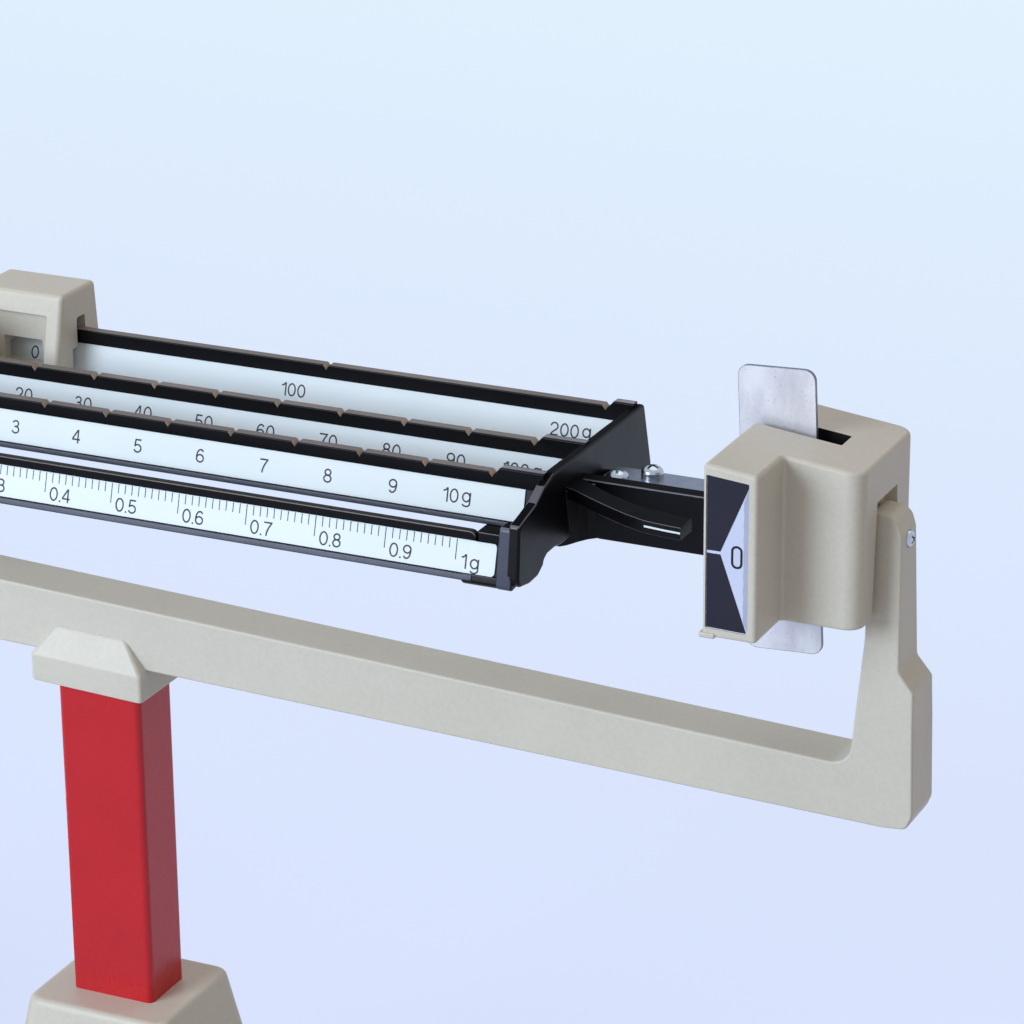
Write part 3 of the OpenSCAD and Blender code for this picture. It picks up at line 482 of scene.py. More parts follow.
WHITE = paper("scale_white", 0.36, 0.4, (223, 236, 244), (230, 242, 248))
PAPER = paper("label_paper", 0.4, 0.35, (208, 218, 248), (214, 224, 251))
VANE = vane_metal()
RIM = metal("vane_rim_grey", (128, 128, 140), 0.4, scale=500)
DULL = metal("dull_aluminium", (148, 150, 163), 0.36, scale=300)


def bar_low(x):
    return BAR_LOW - LOW_FALL * x


def bar_top(x):
    return BAR_TOP - TOP_FALL * x


def make_base():
    """T-shaped base, hollow below, with the post's boss and the seats of the rubber feet."""
    left, waist, right = -190, -94, 66
    wide, narrow = 66, 31
    wall = 3.0
    under = 5
    foot_x, foot_y = -177, 53
    plan = Outline([(left, -wide), (waist, -wide), (waist, -narrow), (right, -narrow), (right, narrow),
                    (waist, narrow), (waist, wide), (left, wide)], [16, 16, 9, 16, 16, 9, 16, 16], 8)
    body = prism(plan, under, DECK_Z, "Z", 0.6, 3.2, 5)
    hollow = prism(plan.ring(wall), under - wall, DECK_Z - wall, "Z")
    window = block((53.5, -12, 2), (70, 12, 13), 1.5)
    half_x, half_y = 20, 17.7
    rings = []
    # height, growth past the boss's top outline, corner radius
    for z, grow, corner in (
            (DECK_Z - 1, 9.8, 9), (DECK_Z + 0.4, 9.6, 9), (DECK_Z + 2.2, 8.2, 8.2), (DECK_Z + 5, 6.9, 7),
            (DECK_Z + 10, 5.8, 5.6), (BOSS_Z - 2.2, 0.4, 4.2), (BOSS_Z - 1.3, 0.18, 4.0),
            (BOSS_Z - 0.6, -0.2, 3.8), (BOSS_Z - 0.15, -0.8, 3.2), (BOSS_Z, -1.6, 2.6)):
        level = rect(-half_x - grow, -half_y - grow, half_x + grow, half_y + grow, corner, 6)
        rings.append([(x, y, z) for x, y in level])
    seat = [(6, under), (6, DECK_Z - 2)]
    bosses = [turned(seat, (foot_x, side * foot_y, 0), count=32) for side in (-1, 1)]
    piece("base_body", body, BEIGE, "stand", ["base_casting"],
          unions=[loft(rings)] + bosses, cuts=[hollow, window])


def thinned(shape, split, top, thin_front, thin_back, half):
    """Shape whose depth falls evenly from the height split up to top."""
    mesh = new_mesh("thinned", shape)
    work = bmesh.new()
    work.from_mesh(mesh)
    bmesh.ops.bisect_plane(work, geom=work.verts[:] + work.edges[:] + work.faces[:], dist=1e-7,
                           plane_co=(0, 0, split * MM), plane_no=(0, 0, 1))
    for v in work.verts:
        z = v.co.z / MM
        if z > split:
            thin = thin_front if v.co.y < 0 else thin_back
            v.co.y *= 1 + (thin / half - 1) * (z - split) / (top - split)
    work.to_mesh(mesh)
    work.free()
    verts = [((v.co.x - POST_X) / MM, v.co.y / MM, v.co.z / MM) for v in mesh.vertices]
    faces = [tuple(p.vertices) for p in mesh.polygons]
    bpy.data.meshes.remove(mesh)
    return verts, faces


def make_frame():
    """Falling bar with the upright on the right, the saddle cap on the post and the fulcrum's pedestal."""
    step_z = 181.0
    upright_top = 220.7
    left = -106
    half = 7
    outline = Outline(
        [(left, bar_low(left)), (203.5, bar_low(203.5)), (209.1, bar_low(209) + 0.6),
         (210.5, bar_low(210.5) + 4), (209.8, step_z - 1.3), (206.2, step_z + 3.2), (205.6, 215.7),
         (204.7, 218.7), (203.0, 220.1),
         (197.9, upright_top), (197.9, 191), (195.2, bar_top(195)), (left, bar_top(left))],
        [3, 6, 2, 4, 1.4, 2.2, 4, 2.5, 3, 1.2, 30, 4.8, 3], 6)
    bar = thinned(prism(outline, -half, half, "Y", 0.6, 0.6, 4), 170.0, upright_top, 5.1, 4.2, half)
    cap_shift = 1.9
    # height, half length, half depth and corner radius of the cap
    cap = []
    for z, hx, hy, corner in ((144.7, 15.0, 9.9, 0.9), (144.8, 15.4, 10.3, 1.0), (145.3, 15.6, 10.5, 1.1),
                              (151.3, 15.6, 10.5, 1.1), (151.9, 15.4, 10.35, 1.1), (152.5, 14.9, 10.0, 1.1),
                              (158.5, 10.4, 7.6, 1.0), (159.1, 9.8, 7.1, 0.9), (159.5, 9.2, 6.5, 0.8)):
        cap.append([(x - cap_shift, y, z - TOP_FALL * x) for x, y in rect(-hx, -hy, hx, hy, corner, 5)])
    socket = prism(rect(-11.65, -8.35, 11.65, 8.35), 140, 151.3, "Z")
    # height, left and right end and half depth of the pedestal
    foot = []
    for z, x0, x1, hy in ((166, -107, -74, 6.4), (172, -106.4, -76, 7), (180, -104.8, -79, 9.5),
                          (190, -103.6, -80.6, 16), (197, -103.2, -80.9, 22.5), (200.5, -103, -81, 25.4),
                          (203, -103, -81, 26), (208.1, -103, -81, 26), (208.4, -102.7, -81.3, 25.7)):
        foot.append([(x, y, z) for x, y in rect(x0, -hy, x1, hy, 2.2, 5)])
    cheek = Outline([(-103, 204), (-81, 204), (-81, 209), (-84, 227), (-100, 227), (-103, 209)],
                    [0, 0, 4, 2.5, 2.5, 4], 5)
    cheek_in, cheek_out = 20, 26
    pocket_half = 4.2
    cheeks, pockets = [], []
    for side in (-1, 1):
        a, b = sorted((side * cheek_in, side * cheek_out))
        cheeks.append(prism(cheek, a, b, "Y", 0.7))
        pockets.append(block((FULCRUM_X - pocket_half, a - 1, KNIFE_Z - 5.5),
                             (FULCRUM_X + pocket_half, b + 1, 230), 0.2))
    screw_hole = turned([(2.05, 204.7), (2.05, 209)], (0, 0, SCREW_Z), "X", 32)
    piece("frame_body", bar, BEIGE, "stand", ["frame_casting"],
          unions=[loft(cap), loft(foot)] + cheeks, cuts=[socket, screw_hole] + pockets)


def make_housing():
    """Stepped housing with a falling top, open for the vane, painted shade inside its slot and cavity."""
    low = HOUSING_LOW
    shoulder = low + 4
    plan = Outline([(HOUSING_LEFT, -31.5), (182, -31.5), (182, -16.5), (200.3, -16.5), (200.3, 17.5),
                    (HOUSING_LEFT, 17.5)], [0.8, 1.1, 0.9, 4.0, 4.0, 1.6], 6)

    def slope(x, y, z):
        share = max(0.0, min(1.0, (z - shoulder) / (HOUSING_TOP - shoulder)))
        top = HOUSING_TOP - HOUSING_FALL * (x - HOUSING_LEFT)
        return x, y, z + share * (top - HOUSING_TOP)

    body = mapped(prism(plan, low, HOUSING_TOP, "Z", 0.9, 1.0, 5), slope)
    cavity_from, cavity_to = (171.3, -14.5, low + 2), (195.4, 15.5, 231.2)
    slot_from, slot_to = (165, -2.75, 180), (190.3, 3.75, 250)
    cavity = block(cavity_from, cavity_to, 0.5)
    slot = block(slot_from, slot_to, 0.4)
    notch = prism([(-9, 190), (7.8, 190), (6.2, 223.7), (-6.7, 223.7)], 197.4, 205, "X")
    recess = prism(Outline([(170.0, 198.6), (180.0, 198.3), (180.0, 233.25), (170.0, 234.15)], 0.3, 3),
                   -40, -30.6, "Y")
    housing = piece("housing_body", body, [BEIGE, DARK], "stand", ["indicator_housing"],
                    cuts=[cavity, slot, notch, recess])
    near = 0.1
    for polygon in housing.data.polygons:
        x, y, z = middle(polygon)
        in_slot = slot_from[0] < x < slot_to[0] + near and slot_from[1] - 0.15 < y < slot_to[1] + 0.15
        in_cavity = (cavity_from[0] - near < x < cavity_to[0] + near
                     and cavity_from[1] - near < y < cavity_to[1] + near and z < cavity_to[2] + near)
        # painted shade: the slot's walls and the cavity take the near-black finish
        if (in_slot and abs(polygon.normal.z) < 0.7) or in_cavity:
            use(housing, polygon, DARK)
    # foot of the label block, a little proud at the bottom left
    piece("housing_lip", block((168.6, -31.9, low - 0.2), (172.4, -29.6, low + 1.1), 0.4), BEIGE, "stand")


def make_label():
    """Two navy fields with a white line between them, a grey band of painted shade on the right, and the 0.
    """
    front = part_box("label_plate")[0].y / MM - 0.02
    left, right = 170.2, 179.8
    index = 216.4
    half_line = 0.34
    apex = 173.35
    thin = 0.05
    upper = [(left, index + half_line), (apex, index + half_line), (right, 232.2), (right, 233.1),
             (left, 234.0)]
    lower = [(left, 198.75), (right - 0.25, 198.5), (apex, index - half_line), (left, index - half_line)]
    # painted shade: a grey band down the label's right edge, with a wavy left border
    wave = [(178.75 + 0.07 * sin(1.7 * k) + 0.05 * sin(4.1 * k), 201.6 + 1.05 * k)
            for k in range(27)]
    band = [(180.0, 198.35), (180.0, 232.8)] + wave[::-1] + [(179.0, 200.4)]
    piece("label_painted_shade", prism(band, front - 0.5 * thin, front + thin, "Y"), LABEL_SHADE_BAND, "stand")
    fields = join(prism(upper, front - thin, front, "Y"), prism(lower, front - thin, front, "Y"))
    piece("label_fields", fields, NAVY, "stand")
    stroke = 0.5
    outer, inner = (rect(175.85 + cut, 213.3 + cut, 178.5 - cut, 218.6 - cut, r, 8)
                    for cut, r in ((0.0, 1.28), (stroke, 0.8)))
    back = front - thin
    rings = [[(u, y, v) for u, v in line]
             for line, y in ((outer, back), (outer, front), (inner, front), (inner, back))]
    piece("label_zero", loft(rings, closed=True), ZERO_INK, "stand")


def pan_head(centre, axis, radius, height, slot_angle):
    """Domed screw head with a cross recess, seated at the centre and rising along the axis."""
    straight = 0.35
    profile = [(0.001, -0.3), (radius * 0.9, -0.3), (radius, 0.0), (radius, height * straight)]
    for k in range(1, 8):
        a = pi / 2 * k / 7
        profile.append((radius * cos(a) + 0.001, height * (straight + (1 - straight) * sin(a))))
    half_length, half_width = radius * 0.62, radius * 0.13
    bars = []
    for turn in (slot_angle, slot_angle + pi / 2):
        c, s = cos(turn), sin(turn)
        corners = rect(-half_length, -half_width, half_length, half_width).points
        shape = prism([(c * u - s * v, s * u + c * v) for u, v in corners], height * 0.55, height * 2, axis)
        bars.append(mapped(shape, lambda *v: tuple(a + b for a, b in zip(v, centre))))
    return turned(profile, centre, axis, 40), bars


def make_screws():
    shank_r = 1.5
    seat = 205.0
    head, cross = pan_head((seat, 0, SCREW_Z), "X", 1.9, 1.7, 0.7)
    shank = turned([(shank_r, 189.4), (shank_r, seat)], (0, 0, SCREW_Z), "X", 24)
    piece("housing_screw_head", head, ZINC, "stand", ["housing_screw"],
          cuts=cross, unions=[shank])
    seat = 215.1
    for i, (x, y) in enumerate(((133.7, 4.2), (139.8, 10.2))):
        head, cross = pan_head((x, y, seat), "Z", 2.65, 2.8, 0.3 + i)
        shank = turned([(shank_r, 210.2), (shank_r, seat)], (x, y, 0), "Z", 24)
        replaced = ["vane_screws"] if i == 0 else []
        piece("vane_screw_%d" % (i + 1), head, ZINC, "beam", replaced,
              cuts=cross, unions=[shank])


def smooth_step(t):
    t = max(0.0, min(1.0, t))
    return t * t * (3 - 2 * t)


def crest_height(rail, x):
    """How far the crest's top stands above or below its plain height at x."""
    if rail.notches < 0:
        return 0.0
    ramp = rail.last + NOTCH_HALF
    if x > ramp:
        return END_RISE * smooth_step((x - ramp) / END_RUN)
    nearest = min(abs(x - (rail.last - i * rail.pitch)) for i in range(rail.notches + 1))
    return -NOTCH_DEPTH * max(0.0, 1 - nearest / NOTCH_HALF)


def web_y(rail, z):
    """Front face of a rail's web at height z."""
    return rail.y + WEB_FRONT - LEAN * (rail.low - z)


NOTCH_STATIONS = (-1.1, -0.8, -0.72, -0.08, 0.0, 0.08, 0.72, 0.8, 1.1)
RAMP_STATIONS = (0.12, 0.3, 0.65, 1.0, 1.18, 1.3, 1.6)
# the plain crest ends in a quarter round, the web runs on to the end plate
PLAIN_END = 115.2
PLAIN_RUN = 1.6
PLAIN_STATIONS = (115.9, 116.4, 116.7, 116.8)


def rail_section(rail):
    """Crest on top, leaning web behind the strip, lip below it."""
    y, top, low, foot = rail.y, rail.top, rail.low, rail.foot
    ledge = foot + rail.lip
    back = y + rail.back
    return Outline(
        [(y - CREST_HALF, low), (y + WEB_FRONT, low), (web_y(rail, ledge), ledge),
         (web_y(rail, ledge) - LIP_OUT, ledge), (web_y(rail, foot) - LIP_OUT, foot),
         (web_y(rail, foot) + 1.9, foot), (back, low), (back, top), (back - 0.5, top),
         (y - CREST_HALF + 0.65, top), (y - CREST_HALF, top)],
        [0.15, 0.05, 0.05, 0.3, 0.3, 0.3, 0.5, 0.3, 0, 0, 0.5], 4)


def rail_solid(rail):
    section = rail_section(rail)
    plain = rail.notches < 0
    if plain:
        stations = {RAILS_LEFT - 1, PLAIN_END, *PLAIN_STATIONS}
    else:
        stations = {RAILS_LEFT - 1, RAILS_RIGHT + 1}
        stations.update(rail.last + NOTCH_HALF + d for d in RAMP_STATIONS)
        for i in range(rail.notches + 1):
            stations.update(rail.last - i * rail.pitch + d for d in NOTCH_STATIONS)
    crest = rail.low + 0.45 * (rail.top - rail.low)
    rings = []
    for x in sorted(stations):
        rise = crest_height(rail, x)
        if plain and x > PLAIN_END:
            rise = -1.5 * (1 - sqrt(max(0.0, 1 - ((x - PLAIN_END) / PLAIN_RUN) ** 2)))
        rings.append([(x, u, v + (rise if v > crest else 0.0)) for u, v in section])
    if not plain:
        return loft(rings)
    end = [[(x, u, min(v, rail.low)) for u, v in section] for x in (116.7, RAILS_RIGHT + 1)]
    return join(loft(rings), loft(end))


def make_rails():
    """Black rails: worn notch flanks and crests, both with painted highlights; painted sheen on lips and
    raised ends.
    """
    for name, rail in RAILS.items():
        obj = piece("rail_" + name, rail_solid(rail), [BLACK, NOTCH_WEAR_AND_HIGHLIGHT, CREST_WEAR_AND_HIGHLIGHT, RAISED_END_HIGHLIGHT, GREY], "beam",
                    ["beam_casting"] if name == "200" else [], sharp=38)
        for polygon in obj.data.polygons:
            n = polygon.normal
            x, y, z = middle(polygon)
            flat_top = n.z > 0.9 and z > rail.low + 1
            # painted sheen: a lighter grey on the front faces of the lip
            if n.y < -0.7 and z < rail.foot + rail.lip:
                use(obj, polygon, GREY)
            elif name == "1":
                # painted highlight: a lighter band on the upper front bevel of the 1 g crest
                if 0.35 < n.z < 0.93 and n.y < 0 and z > rail.low:
                    use(obj, polygon, CREST_WEAR_AND_HIGHLIGHT)
            elif x < rail.last + NOTCH_HALF:
                # painted highlight on the notch flank that faces right and up, partly the notch's wear
                if n.z > 0.35 and n.x > 0.3:
                    use(obj, polygon, NOTCH_WEAR_AND_HIGHLIGHT)
                # crest tops: bare worn metal, partly a painted reflection
                elif flat_top:
                    use(obj, polygon, CREST_WEAR_AND_HIGHLIGHT)
            # painted highlight: a light band on the flat top of the raised end
            elif flat_top and rail.y - CREST_HALF + 0.5 < y < rail.y + rail.back - 0.45:
                use(obj, polygon, RAISED_END_HIGHLIGHT)


def black_piece(name, shape, low_share=0.3, high_share=0.93):
    """Black piece of the beam: painted highlight lines along its upper bevels, painted shade on its flat
    tops.
    """
    obj = piece(name, shape, [BLACK, SHADE, EDGE_HIGHLIGHT, GREY], "beam")
    for polygon in obj.data.polygons:
        n = polygon.normal
        # painted shade: flat tops take a darker, duller black
        if n.z >= high_share:
            use(obj, polygon, SHADE)
        # painted highlight: upper bevels facing front or left take a light grey line
        elif n.z > low_share and (n.y < -0.15 or n.x < -0.3):
            use(obj, polygon, EDGE_HIGHLIGHT)
    return obj


PLATE = [(35.1, 223.1), (-16.3, 223.1), (-21.3, 221.6), (-26.3, 219.0), (-35.6, 216.8), (-37.9, 204.2),
         (-36.4, 202.9), (-31.8, 202.1), (-27.3, 202.3), (-24.4, 203.8), (-23.7, 204.9), (-21.9, 205.7),
         (-17.8, 205.8), (-15.6, 205.4), (-12, 205.2), (37.8, 206.0)]


def knife_seat(x, up):
    """Section of a knife edge at x, from its line upwards or downwards."""
    half = 2.4
    high = KNIFE_Z + up * half / tan(radians(30))
    end = high + up * 1.1
    return [(x, KNIFE_Z), (x + half, high), (x + half, end), (x - half, end), (x - half, high)]


def make_end_plate():
    """Right-hand end plate, its outer face leaning, and the corner under the 1 g rail."""
    outline = Outline(PLATE, [1.2, 2, 3, 3, 1.2, 1.6, 1.2, 2.0, 2.0, 1.0, 0.8, 1.0, 1.5, 2, 2, 2], 5)

    def plate_slope(x, y, z):
        share = (x - RAILS_RIGHT) / PLATE_T
        return x - share * max(0.0, z - ARM_LOW) / 19.9, y, z

    plate = mapped(prism(outline, RAILS_RIGHT, RAILS_RIGHT + PLATE_T, "X", 0.4, 0.7, 4), plate_slope)
    black_piece("beam_plate", plate, 0.5, 0.9)
    front_block = prism(
        Outline([(-35.7, 216.1), (-38.2, 202.6), (-37.0, 201.9), (-31.2, 202.6), (-31.2, 216.1)],
                [1.2, 1.4, 0.6, 0.5, 0.5], 4), 122.6, 126.4, "X", 0.5)
    shelf = block((117.3, -35.6, 211.9), (123.5, -31.0, 214.2), 0.35)
    foot = prism(Outline([(-37.6, 204.6), (-38.1, 202.9), (-37.0, 202.0), (-33.5, 202.6), (-33.5, 204.6)],
                         [0.4, 0.7, 0.4, 0.3, 0.3], 4), 114.0, 123.0, "X", 0.5)
    web = block((113, -33.8, 208.9), (126, -20.7, 210.7), 0.3)
    corner = black_piece("beam_corner", join(front_block, shelf, foot, web), 0.5)
    # painted sheen: a lighter grey on the front faces of the corner block
    for polygon in corner.data.polygons:
        if polygon.normal.y < -0.8 and middle(polygon)[0] > 122.7:
            use(corner, polygon, GREY)


def make_pointer():
    """Arm that carries the vane, finger that points at the label, gusset between them."""
    start = 125.2
    arm = prism(Outline([(start, ARM_TOP), (ARM_X, ARM_TOP), (ARM_X, ARM_LOW), (132.5, ARM_LOW),
                         (128.5, 204.6), (start, 204.8)], [0.2, 0.8, 0.8, 3, 4, 0.2], 5), -4, 0, "Y", 0.45)
    gusset = Outline([(125.4, -2), (125.4, -13.5), (127.8, -10.6), (129.2, -7.7), (130.6, -5.3),
                      (132.6, -3.4), (133.4, -2)], [0, 0.8, 1, 3, 3, 1, 0], 4)
    ledge = block((126, 1.3, 211.1), (150, 13.5, 214.1), 0.4)
    black_piece("pointer_arm", join(arm, ledge, prism(gusset, ARM_LOW, 217.0, "Z", 0.4)))
    front = [(125.4, -9.6), (130, -11.5), (135.2, -14.7), (140.7, -17.8), (146.1, -20.6), (151.8, -22.85),
             (156.5, -23.5), (ARM_X, -23.9)]
    back = [(ARM_X, -17.4), (156.9, -17.0), (150.1, -15.6), (144.7, -13.7), (138.3, -10.4), (133.1, -7.0),
            (128.8, -3.9), (128.8, -1.5), (125.4, -1.5)]
    finger = prism(front + back, 214.7, 217.75, "Z", 0.28, 0.28, 3)
    black_piece("pointer_finger", finger)


def make_hub():
    """Left end plate, hub over the fulcrum and nose with the pan knife and the stud's bore."""
    outline = Outline(
        PLATE[:4] + [(-35.6, 215.5), (-38.0, 202.4), (-26.8, 202.4), (-22.8, 205.5), (37.8, 206.0)],
        [1.2, 2, 3, 3, 1.2, 2, 3, 3, 2], 5)
    cross = prism(outline, RAILS_LEFT - 4, RAILS_LEFT, "X", 0.7)
    hub = block((-103, -17, 209), (-77, 17, 228.5), 1.2, 2.5, 4)
    nose = prism(Outline([(-154, 212), (-102, 210.5), (-102, 227.5), (-154, 225.5)], [4, 0, 0, 3], 5),
                 -5, 5, "Y", 1.0)
    bore = turned([(1.55, -155), (1.55, -151)], (0, 0, KNIFE_Z - 2), "X", 24)
    piece("beam_hub", hub, BLACK, "beam", unions=[nose, cross],
          cuts=[prism(knife_seat(FULCRUM_X, 1), -20, 20, "Y"),
                prism(knife_seat(PAN_X, -1), -8, 8, "Y"), bore])


def make_reading_line():
    """White line along the front of the finger's end."""
    low, high = 216.2, 216.65
    section = ((-0.05, low), (-0.05, high), (0.3, high), (0.3, low))
    rings = [[(x, y + out, z) for out, z in section]
             for x, y in ((151.8, -22.85), (156.5, -23.5), (160.9, -23.89))]
    piece("reading_line", loft(rings), WHITE, "beam")


def make_vane():
    """Leaning damper vane, its neck and the flange under the two screws."""
    lean = radians(VANE_LEAN)
    half_w, half_h = 9.2, 33.6
    cx, cz = 175.1, 182.0 + half_h

    def tilt(x, y, z):
        dx, dz = x - cx, z - cz
        return cx + dx * cos(lean) - dz * sin(lean), y, cz + dx * sin(lean) + dz * cos(lean)

    outline = rect(cx - half_w, cz - half_h, cx + half_w, cz + half_h, 2.6, 6)
    plate = mapped(prism(outline, 0, 1, "Y", 0.16, 0.16, 2), tilt)
    sheet = piece("vane_sheet", plate, [VANE, RIM], "beam", ["vane"])
    # the vane's edge faces take a darker grey
    for polygon in sheet.data.polygons:
        if abs(polygon.normal.y) < 0.93:
            use(sheet, polygon, RIM)
    neck = block((129.2, 0.02, 209.1), (172, 0.98, 215.0), 0.12)
    flange = prism(rect(129.2, 0.3, 159, 13.5, 1.2), 214.1, 215.1, "Z", 0.15)
    piece("vane_flange", join(neck, flange), DULL, "beam")


# Strokes of the figures, drawn 1 high and WIDE across; HALF is half a stroke's width at that height.
FIGURE_H = 3.15
STROKE = 0.36
HALF = STROKE / FIGURE_H / 2
WIDE = 0.70
G_LIFT = 0.42
G_GAP = 0.45
ADVANCE = 2.62
NARROW = {"1": 1.68, ".": 0.71}


def arc(x, y, rx, ry, start, end, steps=18):
    """Points on an ellipse between two angles in degrees."""
    angles = [radians(start + (end - start) * k / steps) for k in range(steps + 1)]
    return [(x + rx * cos(a), y + ry * sin(a)) for a in angles]


def turned_over(line):
    return [(WIDE - x, 1 - y) for x, y in line]


HOOK = [(HALF + 0.01, 0.33), (0.075, 0.55), (0.13, 0.76), (0.24, 0.9), (0.37, 1 - HALF), (0.5, 0.915),
        (0.6, 0.8)]
LOOP = arc(0.352, 0.315, 0.285, 0.315 - HALF, 0, 360, 32)
FIGURES = {
    "0": [arc(WIDE / 2, 0.5, WIDE / 2 - HALF, 0.5 - HALF, 0, 360, 36)],
    "1": [[(0.0, 0.775), (0.13, 0.79), (0.23, 0.85), (0.3, 0.98)], [(0.352, 0.0), (0.352, 1.0)]],
    "2": [arc(0.35, 0.69, 0.275, 0.31 - HALF, 178, 0)
          + [(0.6, 0.58), (0.51, 0.47), (0.35, 0.35), (0.19, 0.22), (0.1, 0.1), (0.085, 0.03)],
          [(0.03, HALF), (0.67, HALF)]],
    "3": [arc(0.34, 0.735, 0.235, 0.265 - HALF, 165, -85), arc(0.345, 0.295, 0.285, 0.295 - HALF, 82, -165),
          [(0.24, 0.525), (0.36, 0.525)]],
    "4": [[(0.48, 0.96), (0.05, 0.3)], [(0.02, 0.275), (0.69, 0.275)], [(0.51, 0.0), (0.51, 0.99)]],
    "5": [[(0.62, 1 - HALF), (0.165, 1 - HALF), (0.105, 0.475)],
          arc(0.345, 0.325, 0.29, 0.325 - HALF, 148, -160)],
    "6": [LOOP, HOOK],
    "7": [[(0.04, 1 - HALF), (0.66, 1 - HALF), (0.63, 0.87), (0.49, 0.67), (0.37, 0.43), (0.3, 0.2),
           (0.27, 0.0)]],
    "8": [arc(0.35, 0.74, 0.23, 0.26 - HALF, 0, 360, 28), arc(0.35, 0.3, 0.285, 0.3 - HALF, 0, 360, 32)],
    "9": [turned_over(LOOP), turned_over(HOOK)],
    ".": [[(0.0, HALF), (2.1 * HALF, HALF)]],
    "g": [arc(0.345, 0.375, 0.2875, 0.36 - HALF, 0, 360, 32),
          [(0.6425, 0.73), (0.6425, -0.05)] + arc(0.3525, -0.05, 0.29, 0.205, -8, -160)],
}


def ribbon(line, half):
    """Flat band along a line, as vertices and faces."""
    closed = dist(line[0], line[-1]) < 1e-6
    if closed:
        line = line[:-1]
    verts = []
    count = len(line)
    for i, here in enumerate(line):
        before = line[i - 1] if i or closed else here
        after = line[(i + 1) % count] if i < count - 1 or closed else here
        here = Vector(here)
        sides = []
        for a, b in ((Vector(before), here), (here, Vector(after))):
            if (b - a).length > 1e-9:
                run = (b - a).normalized()
                sides.append(Vector((-run.y, run.x)))
        middle = sum(sides, Vector((0, 0))).normalized()
        reach = half / max(middle.dot(sides[0]), 0.55)
        verts += [tuple(here + middle * reach), tuple(here - middle * reach)]
    pairs = [(i, (i + 1) % count) for i in range(count if closed else count - 1)]
    return verts, [(2 * i, 2 * i + 1, 2 * j + 1, 2 * j) for i, j in pairs]


def figures(text):
    """Flat outline of a number in millimetres: its left edge at 0, its foot at 0."""
    strokes = []
    left = 0.0
    for i, figure in enumerate(text):
        lift = G_LIFT if figure == "g" else 0.0
        for line in FIGURES[figure]:
            flat, faces = ribbon(line, HALF)
            strokes.append(([(left + x * FIGURE_H, y * FIGURE_H + lift) for x, y in flat], faces))
        left += NARROW.get(figure, ADVANCE)
        if text[i + 1:i + 2] == "g":
            left += G_GAP
    return join(*strokes)


def on_strip(rail, x, z):
    """Point of the print on a strip's face at height z."""
    return x, web_y(rail, z) - STRIP_T - PRINT, z


def make_strips():
    for name, rail in RAILS.items():
        low = rail.foot + rail.lip + 0.05
        high = rail.low - 0.08
        right, r = rail.strip_end, rail.strip_r
        outline = Outline([(RAILS_LEFT, low), (right, low), (right, high), (RAILS_LEFT, high)],
                          [0.1, r, r, 0.1], 6)
        sunk = 0.2
        flat = prism(outline, 0.0, STRIP_T + sunk, "Z", 0.0, 0.07, 3)
        shape = mapped(flat, lambda x, z, w, r=rail: (x, web_y(r, z) + sunk - w, z))
        piece("strip_" + name, shape, WHITE, "beam", ["scale_strip_" + name])


# the first label's start from its notch or mark and its text, the starts of the next ones and of the 0,
# and the height of their foot
LABELS = {
    "200": (-14.05, "200g", -12.1, -9.4, 213.9),
    "100": (-7.65, "100g", -5.55, -4.3, 213.25),
    "10": (-12.05, "10g", -9.15, -9.15, 213.95),
    "1": (1.5, "1g", 1.3, 1.3, 205.45),
}
STEPS = {"200": "%d00", "100": "%d0", "10": "%d", "1": "0.%d"}


def labels(name):
    """Place, text and foot of every label on one strip."""
    first_at, first, next_at, zero_at, foot = LABELS[name]
    rail = RAILS[name]
    last, pitch, count = rail.last, rail.pitch, rail.notches
    if name == "1":
        last, pitch, count = LAST_TICK, TICK_PITCH, 10
    texts = [first] + [STEPS[name] % n for n in range(count - 1, 0, -1)] + ["0"]
    shifts = [first_at] + [next_at] * (count - 1) + [zero_at]
    return [(last - i * pitch + shift, text, foot) for i, (shift, text) in enumerate(zip(shifts, texts))]


def make_scales():
    """Figures of every strip and the marks of the 1 g scale."""
    for name, rail in RAILS.items():
        prints = []
        for x, text, foot in labels(name):
            flat, faces = figures(text)
            if text == "1g":
                # here the g hangs lower
                flat = [(u, v - (0.3 if u > 2.0 else 0.0)) for u, v in flat]
            prints.append(([on_strip(rail, x + u, foot + v) for u, v in flat], faces))
        if name == "1":
            half, start = 0.1, rail.low - 0.25
            for i in range(101):
                x = LAST_TICK - i * TICK_PITCH / 10
                end = rail.low - (4.75 if i % 10 == 0 else 2.4)
                corners = ((-half, start), (-half, end), (half, end), (half, start))
                prints.append(([on_strip(rail, x + u, z) for u, z in corners], [(0, 1, 2, 3)]))
        piece("figures_" + name, thick(join(*prints)), INK, "beam")


def thick(shape, depth=0.025):
    """A flat print given a little depth towards the strip behind it."""
    verts, faces = shape
    n = len(verts)
    back = [(x, y + depth, z) for x, y, z in verts]
    edges = dict.fromkeys((a, b) for f in faces for a, b in zip(f, f[1:] + f[:1]))
    sides = [(a, b, b + n, a + n) for a, b in edges if (b, a) not in edges]
    return verts + back, faces + [tuple(i + n for i in f)[::-1] for f in faces] + sides


